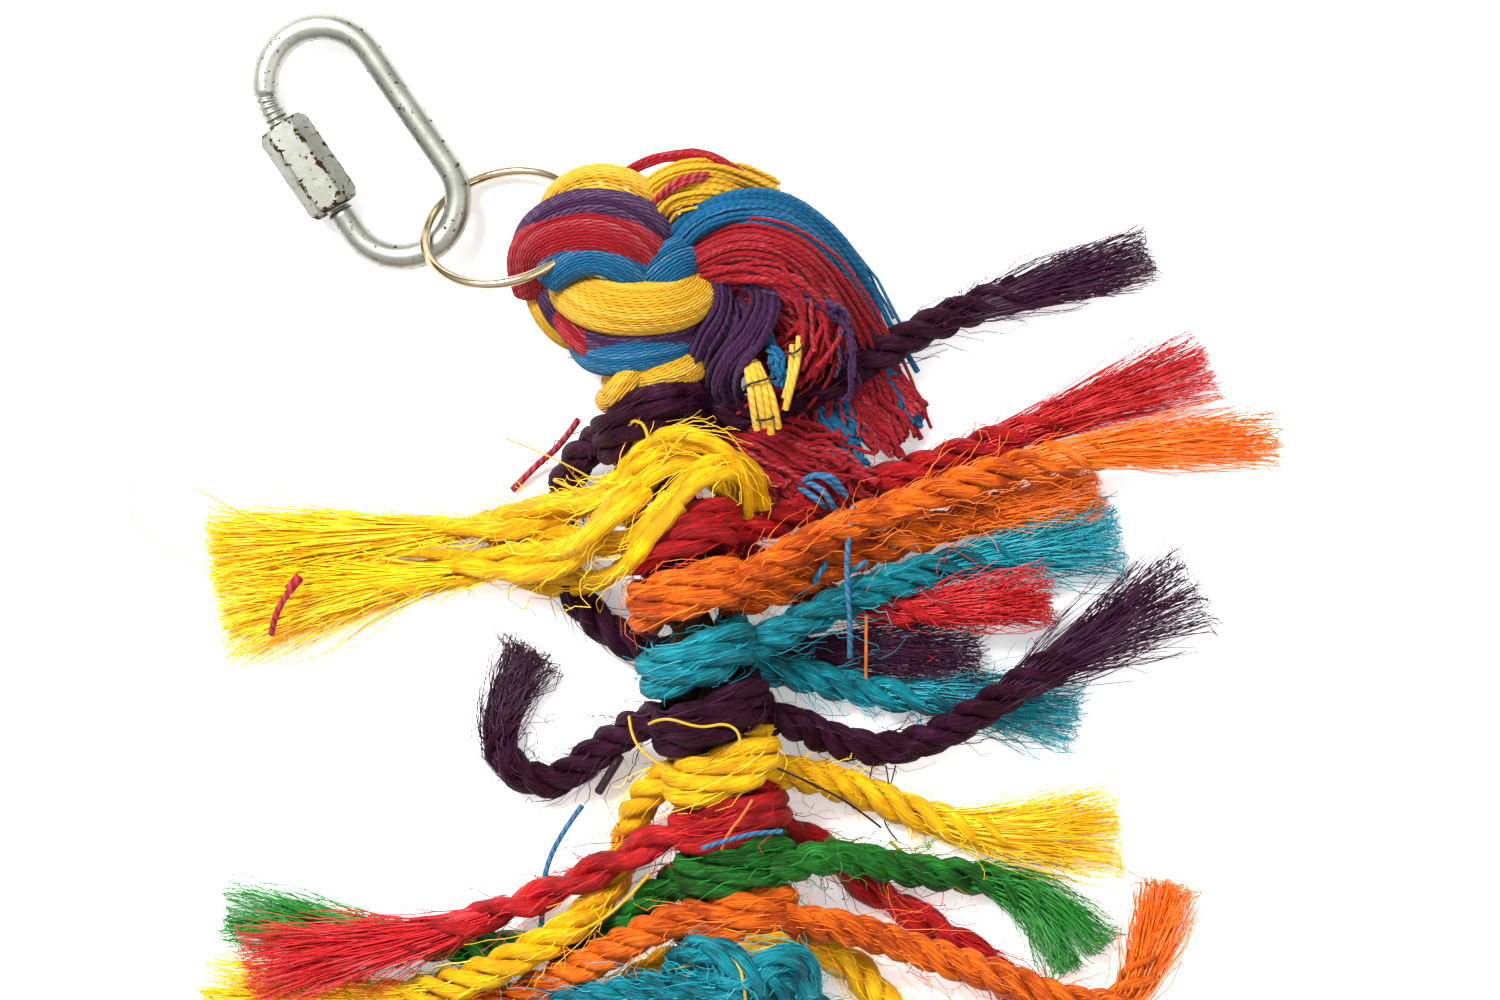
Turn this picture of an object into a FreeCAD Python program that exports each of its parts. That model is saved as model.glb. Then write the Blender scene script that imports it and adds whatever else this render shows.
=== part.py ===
import FreeCAD, Part
import math
import os

# Hanging parrot toy, lying flat as it comes to rest on a table.
# A quick link with a sleeve nut holds a wire ring. A thick cotton rope loops through the ring,
# is knotted below it and ends in a fringe. A core rope hangs from that knot, and thirteen
# strips of twisted sisal rope are each knotted once round it, with two brushed ends.
# Millimetres. X runs to the right, Y up the toy towards the link, Z up from the table.

Vector = FreeCAD.Vector
Rotation = FreeCAD.Rotation
Placement = FreeCAD.Placement

SIZES = [
    ("origin_x", -1.976, "the toy's middle, from the middle of the view"),
    ("origin_y", -22.931, "the toy's middle, from the middle of the view"),
    ("origin_z", 0.126, "the table under the lowest piece"),
    ("rope_diameter", 6.2, "a strip of twisted sisal"),
    ("core_diameter", 8.0, "the rope that carries the strips"),
    ("turn_play", 0.6, "between the core and a turn round it"),
    ("turn_width", 5.8, "one turn of a strip, along the core"),
    ("brush_flare", 2.2, "how much wider a brushed end gets on each side"),
    ("cotton_diameter", 13.0, "the thick rope at the head"),
    ("eye_radius", 8.0, "the middle of the thick rope round the ring's wire"),
    ("head_diameter", 25.0, "the knot below the eye"),
    ("head_length", 19.4, "the knot, along the toy"),
    ("head_bearing", 93.0, "from the knot's foot to its top, in degrees from X"),
    ("head_seat", 2.0, "from the core's start to the knot's foot"),
    ("stopper_diameter", 15.0, "the knot that ends the core"),
    ("stopper_length", 11.0, "the knot that ends the core"),
    ("ring_radius", 14.4, "to the middle of the wire"),
    ("wire_diameter", 1.8, "the ring's wire"),
    ("ring_tilt", 46.0, "the ring's plane from the table, in degrees"),
    ("ring_bearing", 15.7, "the level line across the ring, in degrees from X"),
    ("ring_height", 12.85, "the ring's middle above the table"),
    ("eye_bearing", -15.0, "where the rope's eye sits on the ring, in degrees"),
    ("link_length", 50.5, "outside, end to end"),
    ("link_width", 25.5, "outside, side to side"),
    ("link_rod", 4.8, "the link's round rod"),
    ("thread_diameter", 4.2, "the rod where it is threaded"),
    ("thread_spare", 1.1, "thread past the nut's furthest place"),
    ("thread_past", 1.0, "thread of the short end outside the nut"),
    ("gate_gap", 3.5, "between the rod's two ends"),
    ("gate_hold", 1.6, "the short end inside the nut"),
    ("nut_length", 17.9, "the sleeve nut"),
    ("nut_flats", 8.8, "across its flats"),
    ("nut_back", 1.9, "from the link's middle back to the nut's"),
    ("nut_travel", 5.0, "how far the nut screws back to open the gate"),
    ("nut_chamfer", 0.5, "at the nut's ends"),
    ("nut_play", 0.15, "between thread and nut"),
    ("nut_relief", 5.8, "the wider bore at the far end of the nut"),
    ("nut_relief_depth", 9.0, "how deep that bore is"),
    ("link_bearing", -55.4, "the link's long axis, in degrees from X"),
    ("link_pitch", -2.0, "the link's rise towards the ring, in degrees"),
    ("link_roll", 6.2, "the link's rise away from the nut, in degrees"),
    ("link_height", 7.047, "the middle of the link's rod at the ring, above the table"),
]

# The middle of the link's rod where it turns at the ring, and of the ring, seen from above.
LINK_END = (-56.533, 45.303)
RING_MIDDLE = (-43.9, 48.6)

# How many flat sides stand for a round section.
RING_SIDES = 8
ROD_SIDES = 12
STRIP_SIDES = 6
COTTON_SIDES = 8

# A bend's flat faces each turn by about this much, in radians.
BEND_STEP = 0.35
EYE_STEPS = 6

# How thick a brushed end is beside its rope.
BRUSH_SHARE = 1.04

# Every route below is a list of (x, y, level). A level of 0 lies on the table, 1 is one strip up.
CORE_ROUTE = [
    (-21.5, 22.6, 1.45), (-15.5, 9.0, 1.7), (-12.2, -6.0, 2.15), (-10.6, -24.0, 2.3),
    (-6.0, -42.0, 1.9), (-3.0, -60.0, 1.35), (-2.4, -80.0, 1.3), (-2.8, -102.0, 1.3),
]

# A strip passes in front of its own turn: shares of the turn's radius across,
# of the strip's diameter along the core, and of the turn's radius up.
CROSS_ROUTE = [
    (-1.3, -0.14, 0.45), (-1.16, -0.12, 1.0), (-0.72, -0.08, 1.4),
    (0.72, 0.08, 1.4), (1.16, 0.12, 1.0), (1.3, 0.14, 0.45),
]

# A knot's outline, from its foot to its top: shares of its length and of its radius.
HEAD_OUTLINE = [(0.0, 0.5), (0.28, 1.0), (0.75, 1.0), (1.0, 0.66)]
STOPPER_OUTLINE = [(0.0, 0.5), (0.3, 1.0), (0.75, 1.0), (1.0, 0.6)]

# The fringe: middle, level, half its thickness and how much wider than that it fans out.
FRINGE = [
    (-11.0, 57.0, 2.4, 6.8, 2.5), (2.5, 49.5, 2.1, 6.6, 6.0), (12.5, 36.0, 1.85, 6.0, 9.0),
    (15.0, 21.0, 1.7, 5.4, 10.0), (13.5, 8.0, 1.6, 5.0, 9.0),
]

# For each strip: how far down the core it is tied, and the routes of its two tails.
# The last point of each tail is the end of its brushed fibres.
STRIPS = {
    "purple_rope_1": (8.5, [
        [(-11.8, 16.0, 1.3), (-3.5, 14.5, 0.5), (7.0, 17.0, 0.0), (19.6, 24.1, 0.0),
         (33.9, 32.1, 0.0), (46.4, 37.0, 0.0), (71.0, 45.0, 0.0)],
        [(-23.8, 12.6, 1.7), (-29.5, 9.6, 0.9), (-33.4, 2.5, 0.1), (-34.6, -7.0, 0.0),
         (-31.6, -17.5, 0.0), (-22.5, -26.2, 0.0), (-8.0, -28.2, 0.0), (14.0, -27.2, 0.0),
         (41.0, -26.6, 0.0)],
    ]),
    "yellow_rope_1": (19.0, [
        [(-19.8, 4.2, 2.2), (-27.0, 0.4, 1.8), (-37.0, -3.0, 1.0), (-52.0, -5.0, 0.0),
         (-66.0, -6.3, 0.0), (-97.0, -8.6, 0.0)],
        [(-19.4, 2.2, 3.2), (-25.8, -3.0, 4.0), (-31.0, -9.8, 2.4), (-41.0, -12.4, 0.9),
         (-53.0, -13.0, 0.0), (-66.0, -14.8, 0.0), (-95.0, -19.5, 0.0)],
    ]),
    "red_rope_1": (31.0, [
        [(-5.8, -5.8, 2.0), (3.6, -4.4, 1.1), (17.0, 0.8, 0.0), (37.5, 8.0, 0.0),
         (55.0, 14.5, 0.0), (82.0, 24.5, 0.0)],
        [(-5.8, -8.0, 1.2), (1.6, -11.6, 0.3), (10.0, -17.2, 0.0), (24.0, -19.9, 0.0),
         (36.0, -19.0, 0.6), (53.0, -17.6, 0.95)],
    ]),
    "orange_rope_1": (41.0, [
        [(-5.0, -16.0, 3.0), (2.0, -12.8, 2.6), (12.0, -6.6, 1.75), (28.2, -0.4, 0.95),
         (45.0, 5.2, 0.95), (61.0, 9.0, 0.95), (94.0, 11.0, 0.95)],
        [(-4.9, -18.5, 1.9), (5.4, -16.2, 1.6), (15.5, -11.0, 0.6), (30.0, -6.2, 0.0),
         (44.6, -1.6, 0.0), (62.0, 2.6, 0.0)],
    ]),
    "teal_rope_1": (52.5, [
        [(-3.6, -26.8, 2.5), (5.4, -24.2, 2.0), (17.0, -17.6, 1.1), (32.0, -12.4, 0.3),
         (47.0, -9.6, 0.0), (66.0, -7.4, 0.0)],
        [(-1.6, -29.2, 1.4), (8.2, -30.8, 0.7), (21.0, -34.4, 0.0), (36.0, -35.6, 0.0),
         (58.0, -40.0, 0.0)],
    ]),
    "purple_rope_2": (62.8, [
        [(-0.9, -38.6, 2.0), (7.0, -39.0, 1.2), (14.3, -43.0, 0.4), (24.0, -45.2, 0.0),
         (33.5, -42.4, 0.6), (44.5, -35.6, 1.25), (57.0, -27.4, 1.1), (79.0, -15.0, 1.1)],
        [(-13.0, -37.6, 1.9), (-20.0, -39.6, 1.2), (-27.0, -44.6, 0.3), (-35.5, -51.6, 0.0),
         (-44.6, -47.6, 0.0), (-45.0, -38.0, 0.0), (-38.5, -28.0, 0.0)],
    ]),
    "yellow_rope_2": (72.4, [
        [(0.9, -47.9, 1.7), (9.0, -48.8, 0.9), (19.6, -51.9, 0.0), (30.4, -56.6, 0.0),
         (44.6, -60.2, 0.0), (66.0, -58.8, 0.0)],
        [(-11.0, -47.6, 2.0), (-17.6, -50.4, 1.6), (-21.2, -57.5, 0.3), (-22.6, -64.5, 0.0),
         (-26.0, -71.4, 0.45), (-33.6, -77.6, 1.1), (-45.5, -83.6, 1.1), (-58.0, -88.6, 0.2),
         (-71.0, -89.4, 0.0), (-98.0, -88.0, 0.0)],
    ]),
    "red_rope_2": (81.8, [
        [(3.2, -57.2, 0.7), (10.8, -60.4, 0.1), (19.6, -68.6, 0.0), (35.7, -78.0, 0.0),
         (47.5, -86.0, 0.0), (55.0, -92.5, 0.0)],
        [(-9.4, -57.2, 2.3), (-15.8, -59.8, 2.1), (-23.0, -64.0, 1.35), (-37.4, -71.2, 0.5),
         (-49.0, -75.0, 0.9), (-60.0, -78.4, 1.1), (-90.0, -83.6, 1.1)],
    ]),
    "green_rope": (90.8, [
        [(3.1, -66.2, 2.4), (11.0, -63.6, 1.8), (19.0, -63.8, 1.2), (29.0, -66.6, 0.3),
         (42.0, -67.6, 0.0), (52.6, -71.6, 0.0), (59.5, -82.0, 0.0)],
        [(-9.6, -65.8, 1.4), (-15.8, -68.8, 0.6), (-22.0, -76.6, 0.0), (-34.0, -80.2, 0.0),
         (-50.0, -80.2, 0.0), (-66.0, -78.6, 0.0), (-94.0, -74.6, 0.0)],
    ]),
    "orange_rope_2": (99.7, [
        [(3.5, -74.6, 2.2), (13.6, -75.0, 1.8), (30.4, -80.6, 1.0), (44.0, -85.0, 1.1),
         (57.0, -90.0, 1.1), (66.6, -91.0, 0.6), (71.0, -82.5, 0.0), (74.0, -69.0, 0.0)],
        [(-9.5, -74.0, 2.3), (-17.0, -75.2, 2.6), (-29.0, -83.2, 1.1), (-41.0, -88.6, 0.3),
         (-55.0, -94.6, 0.0), (-70.0, -98.6, 0.0)],
    ]),
    "yellow_rope_3": (106.8, [
        [(3.6, -81.4, 1.2), (10.6, -80.4, 0.7), (18.4, -82.8, 0.1), (23.6, -90.0, 0.0),
         (32.0, -98.0, 0.0), (44.0, -103.5, 0.0), (60.0, -108.0, 0.0)],
        [(-9.4, -81.6, 0.9), (-17.2, -82.8, 0.2), (-23.6, -90.6, 0.0), (-31.5, -99.0, 0.0),
         (-39.5, -107.0, 0.0), (-48.0, -118.0, 0.0)],
    ]),
    "teal_rope_2": (113.8, [
        [(4.4, -88.4, 1.1), (12.2, -90.2, 0.4), (18.0, -98.0, 0.0), (22.5, -108.0, 0.0),
         (30.0, -116.0, 0.0), (41.0, -122.0, 0.0)],
        [(-8.6, -87.8, 2.6), (-15.4, -86.8, 2.4), (-26.0, -88.4, 1.4), (-38.0, -92.0, 1.1),
         (-50.0, -101.0, 0.2), (-61.0, -109.0, 0.0)],
    ]),
    "purple_rope_3": (120.5, [
        [(3.3, -96.0, 0.8), (7.8, -101.5, 0.1), (10.2, -110.0, 0.0), (13.4, -120.0, 0.0),
         (20.0, -130.0, 0.0)],
        [(-8.6, -96.0, 0.8), (-14.4, -99.8, 0.1), (-20.4, -106.6, 0.0), (-26.4, -115.0, 0.0),
         (-34.0, -124.0, 0.0)],
    ]),
}

doc = FreeCAD.newDocument("parrot_toy")
sizes = doc.addObject("Spreadsheet::Sheet", "Sizes")


def fill_sheet():
    """Name, value and meaning of every driving size, one row each."""
    for row, (name, value, meaning) in enumerate(SIZES, start=1):
        sizes.set(f"A{row}", name)
        sizes.set(f"B{row}", str(value))
        sizes.set(f"C{row}", meaning)
        sizes.setAlias(f"B{row}", name)
    doc.recompute()


def size(name):
    return float(sizes.get(name))


def bind(thing, **formulas):
    """Tie an object's properties to cells of the sheet."""
    for prop, formula in formulas.items():
        thing.setExpression(prop, formula)


def at(x, y, z=0.0):
    """A place seen in the view, in the part's own frame."""
    return Vector(x - size("origin_x"), y - size("origin_y"), z - size("origin_z"))


def height(level):
    """The middle of a strip at a level above the table."""
    rope = size("rope_diameter")
    return rope / 2 + level * rope


def laid(route):
    """A route's points, each at its level above the table."""
    return [at(x, y, height(level)) for x, y, level in route]


def along(points):
    """Straight runs joined by tangent arcs, and the arcs' radii."""
    edges = []
    radii = []
    start = points[0]
    for before, corner, after in zip(points, points[1:], points[2:]):
        into = corner - before
        out = after - corner
        half_turn = into.getAngle(out) / 2
        reach = 0.45 * min(into.Length, out.Length)
        into.normalize()
        out.normalize()
        radius = reach / math.tan(half_turn)
        inward = (out - into).normalize()
        middle = corner + inward * (math.hypot(radius, reach) - radius)
        arc_start = corner - into * reach
        arc_end = corner + out * reach
        edges.append(Part.LineSegment(start, arc_start).toShape())
        edges.append(Part.Arc(arc_start, middle, arc_end).toShape())
        radii.append(radius)
        start = arc_end
    edges.append(Part.LineSegment(start, points[-1]).toShape())
    return Part.Wire(edges), radii


def across(direction):
    """A level unit vector across a direction, and the one that stands on both."""
    side = Vector(0, 0, 1).cross(direction).normalize()
    return side, Vector(direction).normalize().cross(side)


def section(middle, axes, radius, sides, turn=0.0, wider=0.0):
    """The corners of an equal-sided outline, drawn out along its first axis on each side."""
    side, up = axes
    corners = []
    for number in range(sides):
        angle = 2 * math.pi * (number + turn) / sides
        level = radius * math.cos(angle)
        level += math.copysign(wider, level)
        corners.append(middle + side * level + up * radius * math.sin(angle))
    return corners


def outlined(corners):
    return Part.makePolygon(corners + corners[:1])


def skinned(sections):
    """A closed solid with flat faces between one outline and the next."""
    faces = [Part.Face(outlined(sections[0])), Part.Face(outlined(sections[-1]))]
    for near, far in zip(sections, sections[1:]):
        for number, corner in enumerate(near):
            beside = number - 1
            quad = [near[beside], corner, far[number], far[beside]]
            for corners in (quad[:3], quad[2:] + quad[:1]):
                faces.append(Part.Face(outlined(corners)))
    shell = Part.makeShell(faces)
    shell.sewShape()
    solid = Part.makeSolid(shell)
    if solid.Volume < 0:
        solid.reverse()
    return solid.removeSplitter()


def tube(points, radius, sides, turn=0.0):
    """A many-sided rope along a route, checked against its section times its length."""
    wire, radii = along(points)
    centre_line = [(points[0], points[1] - points[0])]
    for edge in wire.Edges[1::2]:
        steps = math.ceil(edge.Length / edge.Curve.Radius / BEND_STEP)
        for place in edge.discretize(steps + 1):
            centre_line.append((place, edge.tangentAt(edge.Curve.parameter(place))))
    centre_line.append((points[-1], points[-1] - points[-2]))
    sections = [
        section(place, across(way), radius, sides, turn) for place, way in centre_line
    ]
    rope = skinned(sections)
    expected = Part.Face(outlined(sections[0])).Area * wire.Length
    if abs(rope.Volume - expected) > 0.05 * expected:
        raise ValueError(f"a rope's volume is {rope.Volume:.0f}, not {expected:.0f}")
    return rope, wire.Length, radii


def pulled(points, radius):
    """A strip pulled tight through the points, with a fold at each."""
    ways = [points[1] - points[0]]
    ways += [
        (after - middle).normalize() + (middle - before).normalize()
        for before, middle, after in zip(points, points[1:], points[2:])
    ]
    ways.append(points[-1] - points[-2])
    return skinned([
        section(middle, across(way), radius, STRIP_SIDES) for middle, way in zip(points, ways)
    ])


def brush(start, end, radius, wider):
    """Loose fibres past the end of a rope, fanned out level."""
    fan = end - start
    axes = across(fan)
    inside = start - Vector(fan).normalize()
    wide = radius * BRUSH_SHARE
    near = section(inside, axes, wide, STRIP_SIDES)
    far = section(end, axes, wide, STRIP_SIDES, wider=wider)
    return skinned([near, far])


def feature(label, shape):
    thing = doc.addObject("Part::Feature", label)
    thing.Shape = shape
    return thing


def joined(label, pieces):
    """One sub-part from pieces that are one in the real thing."""
    fuse = doc.addObject("Part::MultiFuse", label)
    fuse.Shapes = pieces
    return fuse


def knot_body(foot, direction, length, radius, outline):
    """A rounded knot: sections of growing and shrinking size, one after another."""
    axes = across(direction)
    return skinned([
        section(foot + direction * length * share, axes, radius * wide, COTTON_SIDES, 0.5)
        for share, wide in outline
    ])


def ring_frame():
    """The ring's middle and its lean: the side nearer the strips stands higher."""
    bearing = Rotation(Vector(0, 0, 1), size("ring_bearing"))
    lean = Rotation(Vector(1, 0, 0), -size("ring_tilt"))
    return Placement(at(*RING_MIDDLE, size("ring_height")), bearing.multiply(lean))


def make_ring():
    """A wire ring that passes through the link and through the rope's eye."""
    outline = doc.addObject("Part::RegularPolygon", "ring_outline")
    outline.Polygon = RING_SIDES
    bind(outline, Circumradius="Sizes.wire_diameter / 2")
    outline.Placement = Placement(Vector(size("ring_radius"), 0, 0), Rotation(Vector(1, 0, 0), 90))
    ring = doc.addObject("Part::Revolution", "ring")
    ring.Source = outline
    ring.Axis = Vector(0, 0, 1)
    ring.Angle = 360.0
    ring.Solid = True
    ring.Placement = ring_frame()
    return ring


def link_shape():
    """The radius of the link's bends, and from its middle to the middle of a bend."""
    bend = (size("link_width") - size("link_rod")) / 2
    return bend, (size("link_length") - size("link_rod")) / 2 - bend


def link_frame():
    """The link's long axis along X, its plain side on +Y and its nut on -Y."""
    turn = Rotation(size("link_bearing"), size("link_pitch"), size("link_roll"))
    reach = Vector((size("link_length") - size("link_rod")) / 2, 0, 0)
    return Placement(at(*LINK_END, size("link_height")) - turn.multVec(reach), turn)


def swept_rod(label, runs, diameter, start):
    """A length of the link's rod along straight runs and bends in the link's own plane."""
    spine = feature(f"{label}_path", Part.Wire([run.toShape() for run in runs]))
    outline = doc.addObject("Part::RegularPolygon", f"{label}_outline")
    outline.Polygon = ROD_SIDES
    bind(outline, Circumradius=f"Sizes.{diameter} / 2")
    outline.Placement = Placement(start, Rotation(Vector(0, 1, 0), 90))
    sweep = doc.addObject("Part::Sweep", label)
    sweep.Sections = [outline]
    sweep.Spine = spine
    sweep.Solid = True
    return sweep


def make_link_rod():
    """A bent rod whose two threaded ends leave a gate inside the nut."""
    bend, half = link_shape()
    nut_low = size("nut_length") / 2 - size("nut_back")
    nut_far = size("nut_length") - nut_low
    short_end = nut_low - size("gate_hold")
    shoulder = nut_low + size("thread_past")
    long_end = short_end - size("gate_gap")
    thread_end = nut_far + size("nut_travel") + size("thread_spare")
    threaded_bend = max(thread_end - half, 0) / bend

    def far_bend(angle):
        """A point of the bend at the far end, by its angle from the nut's side."""
        return Vector(-half - bend * math.sin(angle), -bend * math.cos(angle), 0)

    def nut_side(place):
        return Vector(place, -bend, 0)

    main = [
        Part.LineSegment(nut_side(shoulder), nut_side(half)),
        Part.Arc(nut_side(half), Vector(half + bend, 0, 0), Vector(half, bend, 0)),
        Part.LineSegment(Vector(half, bend, 0), Vector(-half, bend, 0)),
        Part.Arc(far_bend(math.pi), far_bend(math.pi / 2), far_bend(threaded_bend)),
    ]
    threaded = [Part.LineSegment(nut_side(long_end), nut_side(-min(thread_end, half)))]
    if threaded_bend > 0:
        middle = far_bend(threaded_bend / 2)
        threaded.append(Part.Arc(far_bend(0), middle, far_bend(threaded_bend)))
    else:
        main.append(Part.LineSegment(nut_side(-half), nut_side(-thread_end)))
    short = [Part.LineSegment(nut_side(short_end), nut_side(shoulder))]
    link = joined("link_rod", [
        swept_rod("bent_rod", main, "link_rod", nut_side(shoulder)),
        swept_rod("long_thread", threaded, "thread_diameter", nut_side(long_end)),
        swept_rod("short_thread", short, "thread_diameter", nut_side(short_end)),
    ])
    link.Placement = link_frame()
    return link


def make_nut():
    """A six-sided sleeve nut, threaded at the gate and bored wider where it passes the bend."""
    body = doc.addObject("PartDesign::Body", "nut")
    blank = body.newObject("PartDesign::AdditivePrism", "nut_blank")
    blank.Polygon = 6
    bind(blank, Circumradius="Sizes.nut_flats / sqrt(3)", Height="Sizes.nut_length")
    bore = body.newObject("PartDesign::SubtractiveCylinder", "nut_bore")
    bind(bore, Radius="Sizes.thread_diameter / 2 + Sizes.nut_play", Height="Sizes.nut_length")
    relief = body.newObject("PartDesign::SubtractiveCylinder", "nut_wide_bore")
    bind(relief, Radius="Sizes.nut_relief / 2", Height="Sizes.nut_relief_depth")
    doc.recompute()
    side = size("nut_flats") / math.sqrt(3)
    ends = [
        f"Edge{number}"
        for number, edge in enumerate(relief.Shape.Edges, start=1)
        if abs(edge.Length - side) < 0.01 * side
    ]
    chamfer = body.newObject("PartDesign::Chamfer", "nut_bevel")
    chamfer.Base = (relief, ends)
    bind(chamfer, Size="Sizes.nut_chamfer")
    body.Tip = chamfer
    bend, _ = link_shape()
    far = -size("nut_length") / 2 - size("nut_back")
    seat = Placement(Vector(far, -bend, 0), Rotation(Vector(0, 1, 0), 90))
    flat_down = Placement(Vector(), Rotation(Vector(0, 0, 1), 30))
    body.Placement = link_frame().multiply(seat).multiply(flat_down)
    return body


def make_head_rope():
    """The thick rope: its eye round the ring's wire, the knot below it and its fringe."""
    radius = size("cotton_diameter") / 2
    reach = size("eye_radius")
    frame = ring_frame()
    on_ring = Rotation(Vector(0, 0, 1), size("eye_bearing"))
    wire = frame.multVec(on_ring.multVec(Vector(size("ring_radius"), 0, 0)))
    outward = frame.Rotation.multVec(on_ring.multVec(Vector(1, 0, 0)))
    normal = frame.Rotation.multVec(Vector(0, 0, 1))
    along_wire = normal.cross(outward)
    centre_line = [(wire + (outward - normal) * reach, Vector(-outward))]
    for step in range(EYE_STEPS + 1):
        angle = math.pi * step / EYE_STEPS
        place = wire - (normal * math.cos(angle) + outward * math.sin(angle)) * reach
        centre_line.append((place, normal * math.sin(angle) - outward * math.cos(angle)))
    end = wire + (outward + normal) * reach
    centre_line.append((end, outward))
    eye = feature("head_eye", skinned([
        section(place, (along_wire, way.cross(along_wire)), radius, COTTON_SIDES, 0.5)
        for place, way in centre_line
    ]))

    upward = Rotation(Vector(0, 0, 1), size("head_bearing")).multVec(Vector(1, 0, 0))
    foot = laid(CORE_ROUTE)[0] + upward * size("head_seat")
    half = size("head_diameter") / 2
    knot = feature("head_knot", knot_body(foot, upward, size("head_length"), half, HEAD_OUTLINE))

    middles = [end - outward] + [at(x, y, height(level)) for x, y, level, _, _ in FRINGE]
    spreads = [(radius, 0.0)] + [(thick, wide) for _, _, _, thick, wide in FRINGE]
    ways = [outward]
    ways += [after - before for before, after in zip(middles, middles[2:])]
    ways.append(middles[-1] - middles[-2])
    fringe = feature("head_fringe", skinned([
        section(middle, across(way), thick, STRIP_SIDES, wider=wide)
        for middle, way, (thick, wide) in zip(middles, ways, spreads)
    ]))
    return joined("head_rope", [eye, knot, fringe])


def make_core_rope():
    """The rope that the strips are tied to, ending in a plain stopper knot."""
    points = laid(CORE_ROUTE)
    rope, length, radii = tube(points, size("core_diameter") / 2, COTTON_SIDES, 0.5)
    report("core_rope", length, radii)
    down = (points[-1] - points[-2]).normalize()
    half = size("stopper_diameter") / 2
    stopper = knot_body(points[-1] - down, down, size("stopper_length"), half, STOPPER_OUTLINE)
    return joined("core_rope", [feature("core_tube", rope), feature("core_stopper", stopper)])


def report(label, length, radii):
    """A rope's length and the radii of its bends, from its start."""
    bends = ", ".join(f"{radius:.1f}" for radius in radii)
    print(f"{label}: {length:.1f} mm long, bends of {bends}")


def core_place(distance):
    """The middle of the core and its direction, some way down it."""
    wire, _ = along(laid(CORE_ROUTE))
    for edge in wire.Edges:
        if distance <= edge.Length:
            value = edge.getParameterByLength(distance)
            return edge.valueAt(value), edge.tangentAt(value)
        distance -= edge.Length
    raise ValueError("the core is too short for its strips")


def make_turn(label, middle, down):
    """One turn of a strip round the core."""
    side, up = across(down)
    place = Placement(middle - down * size("turn_width") / 2, Rotation(side, up, down, "ZXY"))
    hole = "Sizes.core_diameter / 2 + Sizes.turn_play"
    prisms = []
    for name, radius in (("outside", f"{hole} + Sizes.rope_diameter"), ("inside", hole)):
        prism = doc.addObject("Part::Prism", f"{label}_{name}")
        prism.Polygon = COTTON_SIDES
        bind(prism, Circumradius=radius, Height="Sizes.turn_width")
        quarter = Placement(Vector(), Rotation(Vector(0, 0, 1), 180 / COTTON_SIDES))
        prism.Placement = place.multiply(quarter)
        prisms.append(prism)
    turn = doc.addObject("Part::Cut", f"{label}_turn")
    turn.Base, turn.Tool = prisms
    return turn


def make_strip(label, distance, tails):
    """A strip of rope tied once round the core, with two tails that end as brushes."""
    middle, down = core_place(distance)
    side, up = across(down)
    radius = size("rope_diameter") / 2
    reach = size("core_diameter") / 2 + size("turn_play") + radius
    crossing = [
        middle + side * wide * reach + down * share * radius * 2 + up * rise * reach
        for wide, share, rise in CROSS_ROUTE
    ]
    pieces = [make_turn(label, middle, down)]
    pieces.append(feature(f"{label}_crossing", pulled(crossing, radius)))
    for number, route in enumerate(tails, start=1):
        points = laid(route)
        rope, length, radii = tube(points[:-1], radius, STRIP_SIDES)
        report(f"{label} tail {number}", length, radii)
        pieces.append(feature(f"{label}_tail_{number}", rope))
        fan = brush(points[-2], points[-1], radius, size("brush_flare"))
        pieces.append(feature(f"{label}_brush_{number}", fan))
    return joined(label, pieces)


def check(parts):
    """Stop if an object failed or a sub-part isn't one sound solid."""
    bad = [thing.Label for thing in doc.Objects if {"Invalid", "Error"} & set(thing.State)]
    for part in parts:
        shape = part.Shape
        if shape.isNull() or not shape.isValid() or len(shape.Solids) != 1:
            bad.append(f"{part.Label} with {len(shape.Solids)} solids")
    if bad:
        raise ValueError("not sound: " + ", ".join(bad))


def main():
    fill_sheet()
    parts = [make_link_rod(), make_nut(), make_ring(), make_head_rope(), make_core_rope()]
    parts += [make_strip(label, *strip) for label, strip in STRIPS.items()]
    doc.recompute()
    check(parts)
    os.makedirs("parts", exist_ok=True)
    for part in parts:
        part.Shape.exportStep(f"parts/{part.Label}.step")
    box = Part.Compound([part.Shape for part in parts]).BoundBox
    print(f"X {box.XMin:.2f} to {box.XMax:.2f}, Y {box.YMin:.2f} to {box.YMax:.2f},"
          f" Z {box.ZMin:.2f} to {box.ZMax:.2f}")


main()
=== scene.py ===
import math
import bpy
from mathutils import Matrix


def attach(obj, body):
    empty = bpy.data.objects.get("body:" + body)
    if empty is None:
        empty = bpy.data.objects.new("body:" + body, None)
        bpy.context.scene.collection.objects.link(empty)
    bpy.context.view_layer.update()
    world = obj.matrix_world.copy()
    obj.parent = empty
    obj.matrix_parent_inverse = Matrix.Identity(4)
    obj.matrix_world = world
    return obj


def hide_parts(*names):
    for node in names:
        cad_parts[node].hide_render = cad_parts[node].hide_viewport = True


bl_info = {
    "name": "Parrot toy",
    "version": (1, 0, 0),
    "blender": (4, 5, 0),
    "location": "3D View > Sidebar > Parrot toy",
    "description": "A hanging toy of knotted sisal strips on a ring and a quick link",
    "category": "Object",
}

import bmesh
import bpy
from mathutils import Matrix, Vector

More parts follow.
